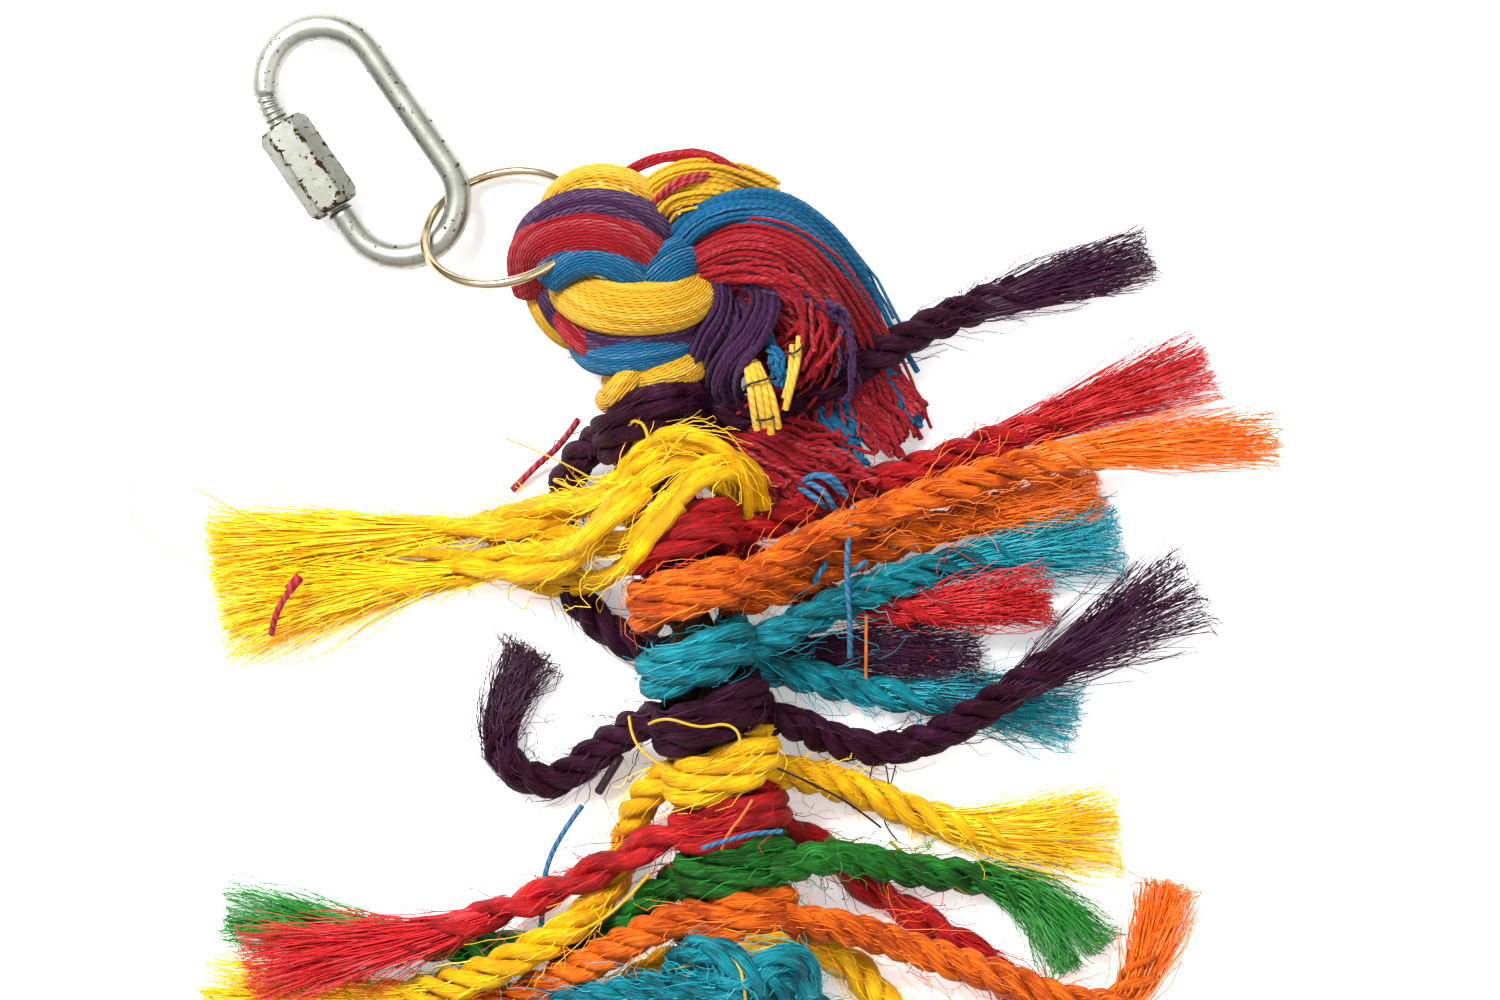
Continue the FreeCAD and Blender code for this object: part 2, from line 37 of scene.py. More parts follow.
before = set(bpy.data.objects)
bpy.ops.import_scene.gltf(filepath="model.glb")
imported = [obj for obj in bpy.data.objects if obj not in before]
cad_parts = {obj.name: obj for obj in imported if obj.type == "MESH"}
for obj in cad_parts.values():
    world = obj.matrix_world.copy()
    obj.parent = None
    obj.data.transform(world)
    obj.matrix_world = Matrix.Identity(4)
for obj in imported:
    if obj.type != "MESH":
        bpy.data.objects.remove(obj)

MM = 0.001

# Where the part's own middle lies in the view from above, in millimetres.
ORIGIN = Vector((-1.976, -22.931, 0.126))
# One millimetre of the photograph, in its pixels, and the photograph's middle.
PIXELS = 5.6
PHOTO_MIDDLE = (750.0, 500.0)
PHOTO_WIDTH = 1500.0

# The link and the ring: their middles in the view and their heights in millimetres, and how
# they lie, in degrees.
LINK_MIDDLE = (-69.5, 64.1, 6.25)
LINK_TURN = (-55.4, -2.0, 6.2)
RING_MIDDLE = (-43.9, 48.6, 12.85)
RING_BEARING = 15.7
RING_TILT = 46.0

# Every route is a list of (x, y, level) in the view: level 0 lies on the table, 1 one strip up.
CORE_ROUTE = [
    (-21.5, 22.6, 1.45), (-15.5, 9.0, 1.7), (-12.2, -6.0, 2.15), (-10.6, -24.0, 2.3),
    (-6.0, -42.0, 1.9), (-3.0, -60.0, 1.35), (-2.4, -80.0, 1.3), (-2.8, -102.0, 1.3),
]

# For each strip: how far down the core it is tied, its colour, how many strands it shows,
# how long one turn of its twist is, and the routes of its two tails with their brushed ends.
STRIPS = {
    "purple_rope_1": (8.5, "purple", 3, 17.0, [
        [(-11.8, 16.0, 1.3), (-3.5, 14.5, 1.1), (7.0, 17.0, 1.15), (19.6, 24.1, 1.0),
         (33.9, 32.1, 0.15), (46.4, 37.0, 0.0), (71.0, 45.0, 0.0)],
        [(-23.8, 12.6, 1.7), (-29.5, 9.6, 0.9), (-33.4, 2.5, 0.1), (-34.6, -7.0, 0.0),
         (-31.6, -17.5, 0.0), (-22.5, -26.2, 0.0), (-8.0, -28.2, 0.0), (14.0, -27.2, 0.0),
         (41.0, -26.6, 0.0)],
    ]),
    "yellow_rope_1": (19.0, "yellow", 2, 46.0, [
        [(-19.8, 4.2, 2.2), (-27.0, 0.4, 1.8), (-37.0, -3.0, 1.0), (-52.0, -5.0, 0.0),
         (-66.0, -6.3, 0.0), (-97.0, -8.6, 0.0)],
        [(-19.4, 2.2, 3.2), (-25.8, -3.0, 4.0), (-31.0, -9.8, 2.4), (-41.0, -12.4, 0.9),
         (-53.0, -13.0, 0.0), (-66.0, -14.8, 0.0), (-95.0, -19.5, 0.0)],
    ]),
    "red_rope_1": (31.0, "red", 3, 19.0, [
        [(-5.8, -5.8, 2.0), (3.6, -4.4, 1.1), (17.0, 0.8, 0.0), (37.5, 8.0, 0.0),
         (55.0, 14.5, 0.0), (82.0, 24.5, 0.0)],
        [(-5.8, -8.0, 1.2), (1.6, -11.6, 0.3), (10.0, -17.2, 0.0), (24.0, -19.9, 0.0),
         (36.0, -19.0, 0.6), (53.0, -17.6, 0.95)],
    ]),
    "orange_rope_1": (41.0, "orange", 3, 17.0, [
        [(-5.0, -16.0, 3.0), (2.0, -12.8, 2.6), (12.0, -6.6, 1.75), (28.2, -0.4, 0.95),
         (45.0, 5.2, 0.95), (61.0, 9.0, 0.95), (94.0, 11.0, 0.95)],
        [(-4.9, -18.5, 1.9), (5.4, -16.2, 1.6), (15.5, -11.0, 0.6), (30.0, -6.2, 0.0),
         (44.6, -1.6, 0.0), (62.0, 2.6, 0.0)],
    ]),
    "teal_rope_1": (52.5, "teal", 3, 18.0, [
        [(-3.6, -26.8, 2.5), (5.4, -24.2, 2.0), (17.0, -17.6, 1.1), (32.0, -12.4, 0.3),
         (47.0, -9.6, 0.0), (66.0, -7.4, 0.0)],
        [(-1.6, -29.2, 1.4), (8.2, -30.8, 0.7), (21.0, -34.4, 0.0), (36.0, -35.6, 0.0),
         (58.0, -40.0, 0.0)],
    ]),
    "purple_rope_2": (62.8, "purple", 3, 16.0, [
        [(-0.9, -38.6, 2.0), (7.0, -39.0, 1.2), (14.3, -43.0, 0.4), (24.0, -45.2, 0.0),
         (33.5, -42.4, 0.6), (44.5, -35.6, 1.25), (57.0, -27.4, 1.1), (79.0, -15.0, 1.1)],
        [(-13.0, -37.6, 1.9), (-20.0, -39.6, 1.2), (-27.0, -44.6, 0.3), (-35.5, -51.6, 0.0),
         (-44.6, -47.6, 0.0), (-45.0, -38.0, 0.0), (-38.5, -28.0, 0.0)],
    ]),
    "yellow_rope_2": (72.4, "yellow", 3, 17.0, [
        [(0.9, -47.9, 1.7), (9.0, -48.8, 0.9), (19.6, -51.9, 0.0), (30.4, -56.6, 0.0),
         (44.6, -60.2, 0.0), (66.0, -58.8, 0.0)],
        [(-11.0, -47.6, 2.0), (-17.6, -50.4, 1.6), (-21.2, -57.5, 0.3), (-22.6, -64.5, 0.0),
         (-26.0, -71.4, 0.45), (-33.6, -77.6, 1.1), (-45.5, -83.6, 1.1), (-58.0, -88.6, 0.2),
         (-71.0, -89.4, 0.0), (-98.0, -88.0, 0.0)],
    ]),
    "red_rope_2": (81.8, "red", 2, 22.0, [
        [(3.2, -57.2, 0.7), (10.8, -60.4, 0.1), (19.6, -68.6, 0.0), (35.7, -78.0, 0.0),
         (47.5, -86.0, 0.0), (55.0, -92.5, 0.0)],
        [(-9.4, -57.2, 2.3), (-15.8, -59.8, 2.1), (-23.0, -64.0, 1.35), (-37.4, -71.2, 0.5),
         (-49.0, -75.0, 0.9), (-60.0, -78.4, 1.1), (-90.0, -83.6, 1.1)],
    ]),
    "green_rope": (90.8, "green", 3, 17.0, [
        [(3.1, -66.2, 2.4), (11.0, -63.6, 1.8), (19.0, -63.8, 1.2), (29.0, -66.6, 0.3),
         (42.0, -67.6, 0.0), (52.6, -71.6, 0.0), (59.5, -82.0, 0.0)],
        [(-9.6, -65.8, 1.4), (-15.8, -68.8, 0.6), (-22.0, -76.6, 0.0), (-34.0, -80.2, 0.0),
         (-50.0, -80.2, 0.0), (-66.0, -78.6, 0.0), (-94.0, -74.6, 0.0)],
    ]),
    "orange_rope_2": (99.7, "orange", 3, 15.0, [
        [(3.5, -74.6, 2.2), (13.6, -75.0, 1.8), (30.4, -80.6, 1.0), (44.0, -85.0, 1.1),
         (57.0, -90.0, 1.1), (66.6, -91.0, 0.6), (71.0, -82.5, 0.0), (74.0, -69.0, 0.0)],
        [(-9.5, -74.0, 2.3), (-17.0, -75.2, 2.6), (-29.0, -83.2, 1.1), (-41.0, -88.6, 0.3),
         (-55.0, -94.6, 0.0), (-70.0, -98.6, 0.0)],
    ]),
    "yellow_rope_3": (106.8, "yellow", 3, 20.0, [
        [(3.6, -81.4, 1.2), (10.6, -80.4, 0.7), (18.4, -82.8, 0.1), (23.6, -90.0, 0.0),
         (32.0, -98.0, 0.0), (44.0, -103.5, 0.0), (60.0, -108.0, 0.0)],
        [(-9.4, -81.6, 0.9), (-17.2, -82.8, 0.2), (-23.6, -90.6, 0.0), (-31.5, -99.0, 0.0),
         (-39.5, -107.0, 0.0), (-48.0, -118.0, 0.0)],
    ]),
    "teal_rope_2": (113.8, "teal", 3, 16.0, [
        [(4.4, -88.4, 1.1), (12.2, -90.2, 0.4), (18.0, -98.0, 0.0), (22.5, -108.0, 0.0),
         (30.0, -116.0, 0.0), (41.0, -122.0, 0.0)],
        [(-8.6, -87.8, 2.6), (-15.4, -86.8, 2.4), (-26.0, -88.4, 1.4), (-38.0, -92.0, 1.1),
         (-50.0, -101.0, 0.2), (-61.0, -109.0, 0.0)],
    ]),
    "purple_rope_3": (120.5, "purple", 3, 17.0, [
        [(3.3, -96.0, 0.8), (7.8, -101.5, 0.1), (10.2, -110.0, 0.0), (13.4, -120.0, 0.0),
         (20.0, -130.0, 0.0)],
        [(-8.6, -96.0, 0.8), (-14.4, -99.8, 0.1), (-20.4, -106.6, 0.0), (-26.4, -115.0, 0.0),
         (-34.0, -124.0, 0.0)],
    ]),
}

# How far each tail's brushed end spreads, in millimetres on each side, and its frizz.
BRUSHES = {
    "purple_rope_1": ((6.0, 5.0), (9.0, 6.0)), "yellow_rope_1": ((9.5, 4.0), (12.5, 5.0)),
    "red_rope_1": ((7.0, 4.5), (5.0, 7.0)), "orange_rope_1": ((5.0, 4.5), (5.0, 6.0)),
    "teal_rope_1": ((8.0, 6.0), (10.0, 6.0)), "purple_rope_2": ((9.0, 6.0), (7.0, 8.0)),
    "yellow_rope_2": ((9.0, 4.5), (7.0, 5.0)), "red_rope_2": ((5.0, 5.0), (8.0, 4.5)),
    "green_rope": ((9.0, 6.0), (6.0, 6.0)), "orange_rope_2": ((6.5, 4.5), (6.0, 5.0)),
}
PLAIN_BRUSHES = ((6.0, 6.0), (6.0, 6.0))

# How full those ends are, where they differ: the yellow pair is fullest, and the last strips'
# ends lie outside the photograph.
BRUSH_SHARES = {
    "yellow_rope_1": 1.9, "yellow_rope_3": 0.45, "teal_rope_2": 0.45, "purple_rope_3": 0.45,
}

# The share of a tail's last stretch that its brushed end takes, the shortest tube that a cord
# may have, and the length of tube that the brushed end grows from.
BRUSHED_SHARE = 0.94
SHORTEST_TUBE = 38.5 * MM
BRUSH_GRIP = 16 * MM

# A strand's offset from its rope's middle and its radius, in millimetres, by the strand count.
STRAND_OFFSETS = {2: 1.45, 3: 1.75}
STRAND_RADII = {2: 1.75, 3: 1.55}

# How much thinner the strands of a laid-out knot are, and how many corners a plain turn has.
LAID_KNOT_SHARE = 0.86
TURN_CORNERS = 8

# The link's gate: how far the nut sits from the middle of its side, and along the rod from the
# nut, the shoulder, the short end inside it, the gap and the thread past it.
NUT_SHIFT = 1.9 * MM
SHOULDER_GAP = 1.0 * MM
GATE_HOLD = 1.6 * MM
GATE_GAP = 3.5 * MM
THREAD_REST = 6.1 * MM
THREAD_PITCH = 1.15 * MM
THREAD_DEPTH = 0.45 * MM

# Spacing of the noise that makes strands wander along their way, in waves a metre.
ROPE_DRIFT = 110.0
ROPE_SWELL = 170.0
YARN_DRIFT = 60.0
YARN_SWELL = 90.0

# One turn of the plies in a loose yarn and in a yarn of the head's bands.
YARN_TURN = 3.0 * MM
BAND_YARN_TURN = 3.5 * MM


def at(x, y, z=0.0):
    """A place in the view from above, in millimetres, as a point of the part in metres."""
    return (Vector((x, y, z)) - ORIGIN) * MM


def seen(column, row, z=0.0):
    """The part's point under a pixel of the photograph, at a height above the table."""
    x = (column - PHOTO_MIDDLE[0]) / PIXELS
    y = (PHOTO_MIDDLE[1] - row) / PIXELS
    return at(x, y, z)


def height(level):
    """The middle of a strip at a level above the table, in millimetres."""
    rope = sizes().rope_diameter / MM
    return rope / 2 + level * rope


def laid(route):
    """The points of a route, each at its level above the table."""
    return [at(x, y, height(level)) for x, y, level in route]


def sizes():
    """The sizes that a user can change."""
    return bpy.context.scene.toy_sizes


def colours():
    """The colours that a user can change."""
    return bpy.context.scene.toy_colours


def smooth_line(points, steps=12):
    """The points down the smooth line that has the given points as its control points."""
    curve = bpy.data.curves.new("route", "CURVE")
    curve.dimensions = "3D"
    spline = curve.splines.new("NURBS")
    spline.points.add(len(points) - 1)
    for slot, point in zip(spline.points, points):
        slot.co = (*point, 1.0)
    spline.order_u = 3
    spline.use_endpoint_u = True
    spline.resolution_u = steps
    curve.resolution_u = steps
    holder = bpy.data.objects.new("route", curve)
    mesh = bpy.data.meshes.new_from_object(holder)
    line = [vertex.co.copy() for vertex in mesh.vertices]
    bpy.data.meshes.remove(mesh)
    bpy.data.curves.remove(curve)
    return line


def line_length(line):
    """The length of a line of points."""
    return sum((after - before).length for before, after in zip(line, line[1:]))


def cut(line, start, end):
    """The stretch of a line between two distances along it."""
    kept = []
    gone = 0.0
    for before, after in zip(line, line[1:]):
        step = (after - before).length
        for place in (start, end):
            if gone <= place < gone + step:
                kept.append(before.lerp(after, (place - gone) / step))
                if place == end:
                    return kept
        gone += step
        if start < gone < end:
            kept.append(after.copy())
    return kept


def core_place(distance):
    """The middle of the core some way down it, and its direction there."""
    line = smooth_line(laid(CORE_ROUTE))
    here = cut(line, distance * MM, distance * MM + MM)
    return here[0], (here[-1] - here[0]).normalized()


def across(direction):
    """A level unit vector across a direction, and the one that stands on both."""
    side = Vector((0, 0, 1)).cross(direction).normalized()
    return side, direction.normalized().cross(side)


def plug(tree, socket, value):
    """Join a socket to another, or give it a value of its own."""
    if isinstance(value, bpy.types.NodeSocket):
        tree.links.new(value, socket)
    else:
        socket.default_value = value


def node(tree, kind, values=None, **settings):
    """A new node with its settings, and its inputs by name or by number."""
    made = tree.nodes.new(kind)
    for key, value in settings.items():
        setattr(made, key, value)
    for key, value in (values or {}).items():
        plug(tree, made.inputs[key], value)
    return made


def calc(tree, operation, *values):
    """The result of a sum on numbers or sockets."""
    maths = "ShaderNodeMath"
    return node(tree, maths, dict(enumerate(values)), operation=operation).outputs[0]


def calc_vector(tree, operation, first, second):
    """The result of a sum on two vectors, or on a vector and its scale."""
    made = node(tree, "ShaderNodeVectorMath", {0: first}, operation=operation)
    plug(tree, made.inputs[3 if operation == "SCALE" else 1], second)
    return made.outputs[0]


def random_share(tree, low, high, number, seed):
    """A random number for each item, from its own number and a seed."""
    made = node(tree, "FunctionNodeRandomValue", data_type="FLOAT")
    for slot, value in ((2, low), (3, high), (7, number), (8, seed)):
        plug(tree, made.inputs[slot], value)
    return made.outputs[1]


def new_tree(name, inputs):
    """An empty geometry tree with named inputs, its input node and its output node."""
    tree = bpy.data.node_groups.new(name, "GeometryNodeTree")
    face = tree.interface
    face.new_socket("Geometry", in_out="INPUT", socket_type="NodeSocketGeometry")
    for label, kind, default in inputs:
        socket = face.new_socket(label, in_out="INPUT", socket_type=f"NodeSocket{kind}")
        if default is not None:
            socket.default_value = default
    face.new_socket("Geometry", in_out="OUTPUT", socket_type="NodeSocketGeometry")
    return tree, tree.nodes.new("NodeGroupInput").outputs, tree.nodes.new("NodeGroupOutput")


def store(tree, geometry, label, value, kind="FLOAT", domain="POINT"):
    """The same geometry, with a value kept under a name."""
    values = {"Geometry": geometry, "Name": label, "Value": value}
    made = node(tree, "GeometryNodeStoreNamedAttribute", values, data_type=kind, domain=domain)
    return made.outputs[0]


def stored(tree, label, kind="FLOAT"):
    """The value kept under a name."""
    made = node(tree, "GeometryNodeInputNamedAttribute", {"Name": label}, data_type=kind)
    return made.outputs[0]


def round_profile(tree, sides):
    """A round outline of radius 1 whose points know their angle as a cosine and a sine."""
    values = {"Resolution": sides, "Radius": 1.0}
    circle = node(tree, "GeometryNodeCurvePrimitiveCircle", values, mode="RADIUS")
    place = node(tree, "GeometryNodeInputPosition").outputs[0]
    return store(tree, circle.outputs[0], "around", place, "FLOAT_VECTOR")


def finish_tree(tree, output, geometry, material):
    """Realise, smooth and paint what the tree has made."""
    real = node(tree, "GeometryNodeRealizeInstances", {"Geometry": geometry})
    smooth = node(tree, "GeometryNodeSetShadeSmooth", {"Geometry": real.outputs[0]})
    painted = node(
        tree, "GeometryNodeSetMaterial", {"Geometry": smooth.outputs[0], "Material": material}
    )
    tree.links.new(painted.outputs[0], output.inputs[0])


def above_table(tree, place, floor, ceiling):
    """The same place, kept between two heights over the table."""
    parts = node(tree, "ShaderNodeSeparateXYZ", {0: place}).outputs
    lifted = calc(tree, "MINIMUM", calc(tree, "MAXIMUM", parts[2], floor), ceiling)
    return node(tree, "ShaderNodeCombineXYZ", {0: parts[0], 1: parts[1], 2: lifted}).outputs[0]


def line_frame(tree, tangent):
    """A level vector across the line, and the one that stands on both."""
    level = calc_vector(tree, "CROSS_PRODUCT", (0.0, 0.0, 1.0), tangent)
    side = calc_vector(tree, "NORMALIZE", level, (0.0, 0.0, 0.0))
    return side, calc_vector(tree, "CROSS_PRODUCT", tangent, side)


def wave_noise(tree, first, second, scale, output="Fac"):
    """Noise along one number, its own for each value of another."""
    place = node(tree, "ShaderNodeCombineXYZ", {0: first, 1: second}).outputs[0]
    values = {"Vector": place, "Scale": scale, "Detail": 2.0}
    return node(tree, "ShaderNodeTexNoise", values).outputs[output]


def on_ellipse(tree, axes, angle, wide, high):
    """An offset from the line: so far across it and so far above it, by an angle."""
    side, up = axes
    level = calc(tree, "MULTIPLY", calc(tree, "COSINE", angle), wide)
    lift = calc(tree, "MULTIPLY", calc(tree, "SINE", angle), high)
    return calc_vector(
        tree, "ADD", calc_vector(tree, "SCALE", side, level), calc_vector(tree, "SCALE", up, lift)
    )


def lay_fibres(tree, mesh, turn_length, seed):
    """Store where each point lies round its strand and along it, and how far that is turned.

    Each strand starts its turn at another angle, and has its own place in the noise.
    """
    strand_turn, strand_step, along_scale = 2.4, 7.3, 38.0
    around = stored(tree, "around", "FLOAT_VECTOR")
    along = stored(tree, "along")
    turn = calc(tree, "MULTIPLY", calc(tree, "DIVIDE", along, turn_length), math.tau)
    turn = calc(tree, "MULTIPLY_ADD", stored(tree, "strand"), strand_turn, turn)
    far = calc(tree, "MULTIPLY", along, along_scale)
    length = node(tree, "ShaderNodeCombineXYZ", {2: far}).outputs[0]
    number = calc(tree, "MULTIPLY", stored(tree, "strand"), strand_step)
    number = calc(tree, "ADD", number, seed)
    apart = node(tree, "ShaderNodeCombineXYZ", {0: number, 1: number}).outputs[0]
    fibre = calc_vector(tree, "ADD", calc_vector(tree, "ADD", around, length), apart)
    mesh = store(tree, mesh, "ply", around, "FLOAT_VECTOR")
    mesh = store(tree, mesh, "turn", turn)
    return store(tree, mesh, "fibre", fibre, "FLOAT_VECTOR")


def twisted_rope_tree():
    """Strands wound round each other along a line, with grooved, uneven skins."""
    tree, given, output = new_tree("Twisted rope", [
        ("Strands", "Int", 3), ("Turn Length", "Float", 0.017),
        ("Strand Offset", "Float", 0.0018), ("Strand Radius", "Float", 0.0017),
        ("Turn Back", "Float", 0.8), ("Wander", "Float", 0.3), ("Groove", "Float", 0.0004),
        ("Flatness", "Float", 1.0), ("Open", "Float", 0.0), ("Step", "Float", 0.001),
        ("Sides", "Int", 13), ("Seed", "Float", 1.0), ("Material", "Material", None),
    ])
    end_fan, end_thinning, fibre_turn, lowest = 0.6, 0.65, 100.0, 0.05 * MM
    line = node(tree, "GeometryNodeMeshToCurve", {"Mesh": given["Geometry"]}).outputs[0]
    even = node(
        tree, "GeometryNodeResampleCurve", {"Curve": line, "Length": given["Step"]}, mode="LENGTH"
    ).outputs[0]
    length = node(tree, "GeometryNodeSplineParameter").outputs["Length"]
    even = store(tree, even, "along", length)
    copies = node(
        tree, "GeometryNodeDuplicateElements",
        {"Geometry": even, "Amount": given["Strands"]}, domain="SPLINE",
    )
    strands = store(tree, copies.outputs[0], "strand", copies.outputs["Duplicate Index"])
    along = stored(tree, "along")
    strand = stored(tree, "strand")
    gone = node(tree, "GeometryNodeSplineParameter").outputs["Factor"]
    opened = calc(tree, "MULTIPLY", calc(tree, "POWER", gone, 5.0), given["Open"])
    normal = node(tree, "GeometryNodeInputNormal").outputs[0]
    tangent = node(tree, "GeometryNodeInputTangent").outputs[0]
    axes = (normal, calc_vector(tree, "CROSS_PRODUCT", tangent, normal))
    turns = calc(tree, "DIVIDE", along, given["Turn Length"])
    share = calc(tree, "DIVIDE", strand, given["Strands"])
    angle = calc(tree, "MULTIPLY", calc(tree, "ADD", turns, share), math.tau)
    own = calc(tree, "ADD", calc(tree, "MULTIPLY", strand, 3.7), given["Seed"])
    drift = calc(tree, "SUBTRACT", wave_noise(tree, along, own, ROPE_DRIFT), 0.5)
    drift = calc(tree, "MULTIPLY", drift, given["Wander"])
    angle = calc(tree, "ADD", angle, calc(tree, "MULTIPLY", drift, 3.0))
    swell = calc(tree, "SUBTRACT", wave_noise(tree, own, along, ROPE_SWELL), 0.5)
    swell = calc(tree, "ADD", calc(tree, "MULTIPLY", swell, given["Wander"]), 1.0)
    apart = calc(tree, "MULTIPLY", given["Strand Offset"], swell)
    apart = calc(tree, "MULTIPLY", apart, calc(tree, "MULTIPLY_ADD", opened, end_fan, 1.0))
    lift = calc(tree, "MULTIPLY", apart, given["Flatness"])
    moved = node(
        tree, "GeometryNodeSetPosition",
        {"Geometry": strands, "Offset": on_ellipse(tree, axes, angle, apart, lift)},
    ).outputs[0]
    back = calc(tree, "MULTIPLY", calc(tree, "MULTIPLY", turns, -math.tau), given["Turn Back"])
    tilted = node(tree, "GeometryNodeSetCurveTilt", {"Curve": moved, "Tilt": back}).outputs[0]
    thick = calc(tree, "MULTIPLY", given["Strand Radius"], swell)
    thinner = calc(tree, "SUBTRACT", 1.0, calc(tree, "MULTIPLY", opened, end_thinning))
    thick = calc(tree, "MULTIPLY", thick, thinner)
    mesh = node(
        tree, "GeometryNodeCurveToMesh",
        {"Curve": tilted, "Profile Curve": round_profile(tree, given["Sides"]),
         "Scale": thick, "Fill Caps": True},
    ).outputs[0]
    mesh = lay_fibres(tree, mesh, fibre_turn, given["Seed"])
    grooves = node(
        tree, "ShaderNodeTexNoise",
        {"Vector": stored(tree, "fibre", "FLOAT_VECTOR"), "Scale": 2.6, "Detail": 4.0,
         "Roughness": 0.8},
    ).outputs[0]
    depth = calc(tree, "MULTIPLY", calc(tree, "SUBTRACT", grooves, 0.5), given["Groove"])
    depth = calc(tree, "MULTIPLY", depth, 4.0)
    skin = calc_vector(tree, "SCALE", node(tree, "GeometryNodeInputNormal").outputs[0], depth)
    place = calc_vector(
        tree, "ADD", node(tree, "GeometryNodeInputPosition").outputs[0], skin
    )
    place = above_table(tree, place, lowest, 1.0)
    rough = node(tree, "GeometryNodeSetPosition", {"Geometry": mesh, "Position": place})
    finish_tree(tree, output, rough.outputs[0], given["Material"])
    return tree


def loose_fibres_tree():
    """Fibres that leave a line: a brushed end, or strays along a rope."""
    tree, given, output = new_tree("Loose fibres", [
        ("Fibres", "Int", 150), ("Locks", "Int", 14), ("Own Share", "Float", 0.35),
        ("First", "Float", 0.0), ("Last", "Float", 0.1),
        ("Shortest", "Float", 0.6), ("Longest", "Float", 0.9),
        ("Root", "Float", 0.0028), ("Root Up", "Float", 0.0028), ("Inner", "Float", 0.0),
        ("Spread Across", "Float", 0.008), ("Spread Up", "Float", 0.003),
        ("Fan", "Float", 1.6), ("Frizz", "Float", 0.003), ("Waves", "Float", 2.5),
        ("Thickness", "Float", 0.00016), ("Tip", "Float", 0.4), ("Sides", "Int", 3),
        ("Points", "Int", 7), ("Floor", "Float", 0.0003), ("Ceiling", "Float", 0.1),
        ("Seed", "Int", 1), ("Material", "Material", None),
    ])
    line = node(tree, "GeometryNodeMeshToCurve", {"Mesh": given["Geometry"]}).outputs[0]
    even = node(
        tree, "GeometryNodeResampleCurve", {"Curve": line, "Count": given["Points"]}, mode="COUNT"
    ).outputs[0]
    copies = node(
        tree, "GeometryNodeDuplicateElements",
        {"Geometry": even, "Amount": given["Fibres"]}, domain="SPLINE",
    )
    number = copies.outputs["Duplicate Index"]
    gone = node(tree, "GeometryNodeSplineParameter").outputs["Factor"]
    fibres = store(tree, copies.outputs[0], "gone", gone)
    fibres = store(tree, fibres, "number", number)
    number = stored(tree, "number")
    gone = stored(tree, "gone")

    def own(low, high, seed, item=number):
        return random_share(tree, low, high, item, calc(tree, "ADD", given["Seed"], seed))

    locks = calc(tree, "DIVIDE", given["Locks"], given["Fibres"])
    lock = calc(tree, "FLOOR", calc(tree, "MULTIPLY", number, locks))
    start = own(given["First"], given["Last"], 1.0)
    reach = own(given["Shortest"], given["Longest"], 2.0)
    place = calc(tree, "ADD", start, calc(tree, "MULTIPLY", reach, gone))
    place = calc(tree, "MINIMUM", place, 1.0)
    sample = node(
        tree, "GeometryNodeSampleCurve", {"Curves": line, "Factor": place}, mode="FACTOR"
    )
    axes = line_frame(tree, sample.outputs["Tangent"])
    inner = calc(tree, "MULTIPLY", given["Inner"], given["Inner"])
    lift = calc(tree, "POWER", gone, given["Fan"])
    wide = calc(tree, "MULTIPLY_ADD", given["Spread Across"], lift, given["Root"])
    high = calc(tree, "MULTIPLY_ADD", given["Spread Up"], lift, given["Root Up"])
    offset = sample.outputs["Position"]
    shares = (
        (lock, calc(tree, "SUBTRACT", 1.0, given["Own Share"]), 10.0),
        (number, given["Own Share"], 20.0),
    )
    for item, share, seed in shares:
        far = calc(tree, "SQRT", own(inner, 1.0, seed, item))
        far = calc(tree, "MULTIPLY", far, share)
        turn = own(0.0, math.tau, seed + 1.0, item)
        step = on_ellipse(
            tree, axes, turn, calc(tree, "MULTIPLY", far, wide), calc(tree, "MULTIPLY", far, high)
        )
        offset = calc_vector(tree, "ADD", offset, step)
    for item, share, seed in ((lock, 0.6, 30.0), (number, 0.7, 31.0)):
        apart = own(0.0, 500.0, seed, item)
        curl = wave_noise(tree, calc(tree, "MULTIPLY", gone, given["Waves"]), apart, 1.0, "Color")
        curl = calc_vector(tree, "SUBTRACT", curl, (0.5, 0.5, 0.5))
        much = calc(tree, "MULTIPLY", calc(tree, "MULTIPLY", given["Frizz"], gone), share * 2)
        offset = calc_vector(tree, "ADD", offset, calc_vector(tree, "SCALE", curl, much))
    landed = above_table(tree, offset, given["Floor"], given["Ceiling"])
    moved = node(
        tree, "GeometryNodeSetPosition", {"Geometry": fibres, "Position": landed}
    ).outputs[0]
    shade = calc(tree, "MULTIPLY_ADD", own(0.0, 1.0, 40.0, lock), 0.5, own(0.0, 0.5, 41.0))
    moved = store(tree, moved, "shade", shade)
    moved = store(tree, moved, "strand", number)
    moved = store(
        tree, moved, "along", node(tree, "GeometryNodeSplineParameter").outputs["Length"]
    )
    thin = calc(tree, "SUBTRACT", 1.0, calc(
        tree, "MULTIPLY", gone, calc(tree, "SUBTRACT", 1.0, given["Tip"])
    ))
    thick = calc(tree, "MULTIPLY", given["Thickness"], own(0.65, 1.3, 50.0))
    mesh = node(
        tree, "GeometryNodeCurveToMesh",
        {"Curve": moved, "Profile Curve": round_profile(tree, given["Sides"]),
         "Scale": calc(tree, "MULTIPLY", thick, thin), "Fill Caps": True},
    ).outputs[0]
    mesh = lay_fibres(tree, mesh, YARN_TURN, 0.0)
    finish_tree(tree, output, mesh, given["Material"])
    return tree


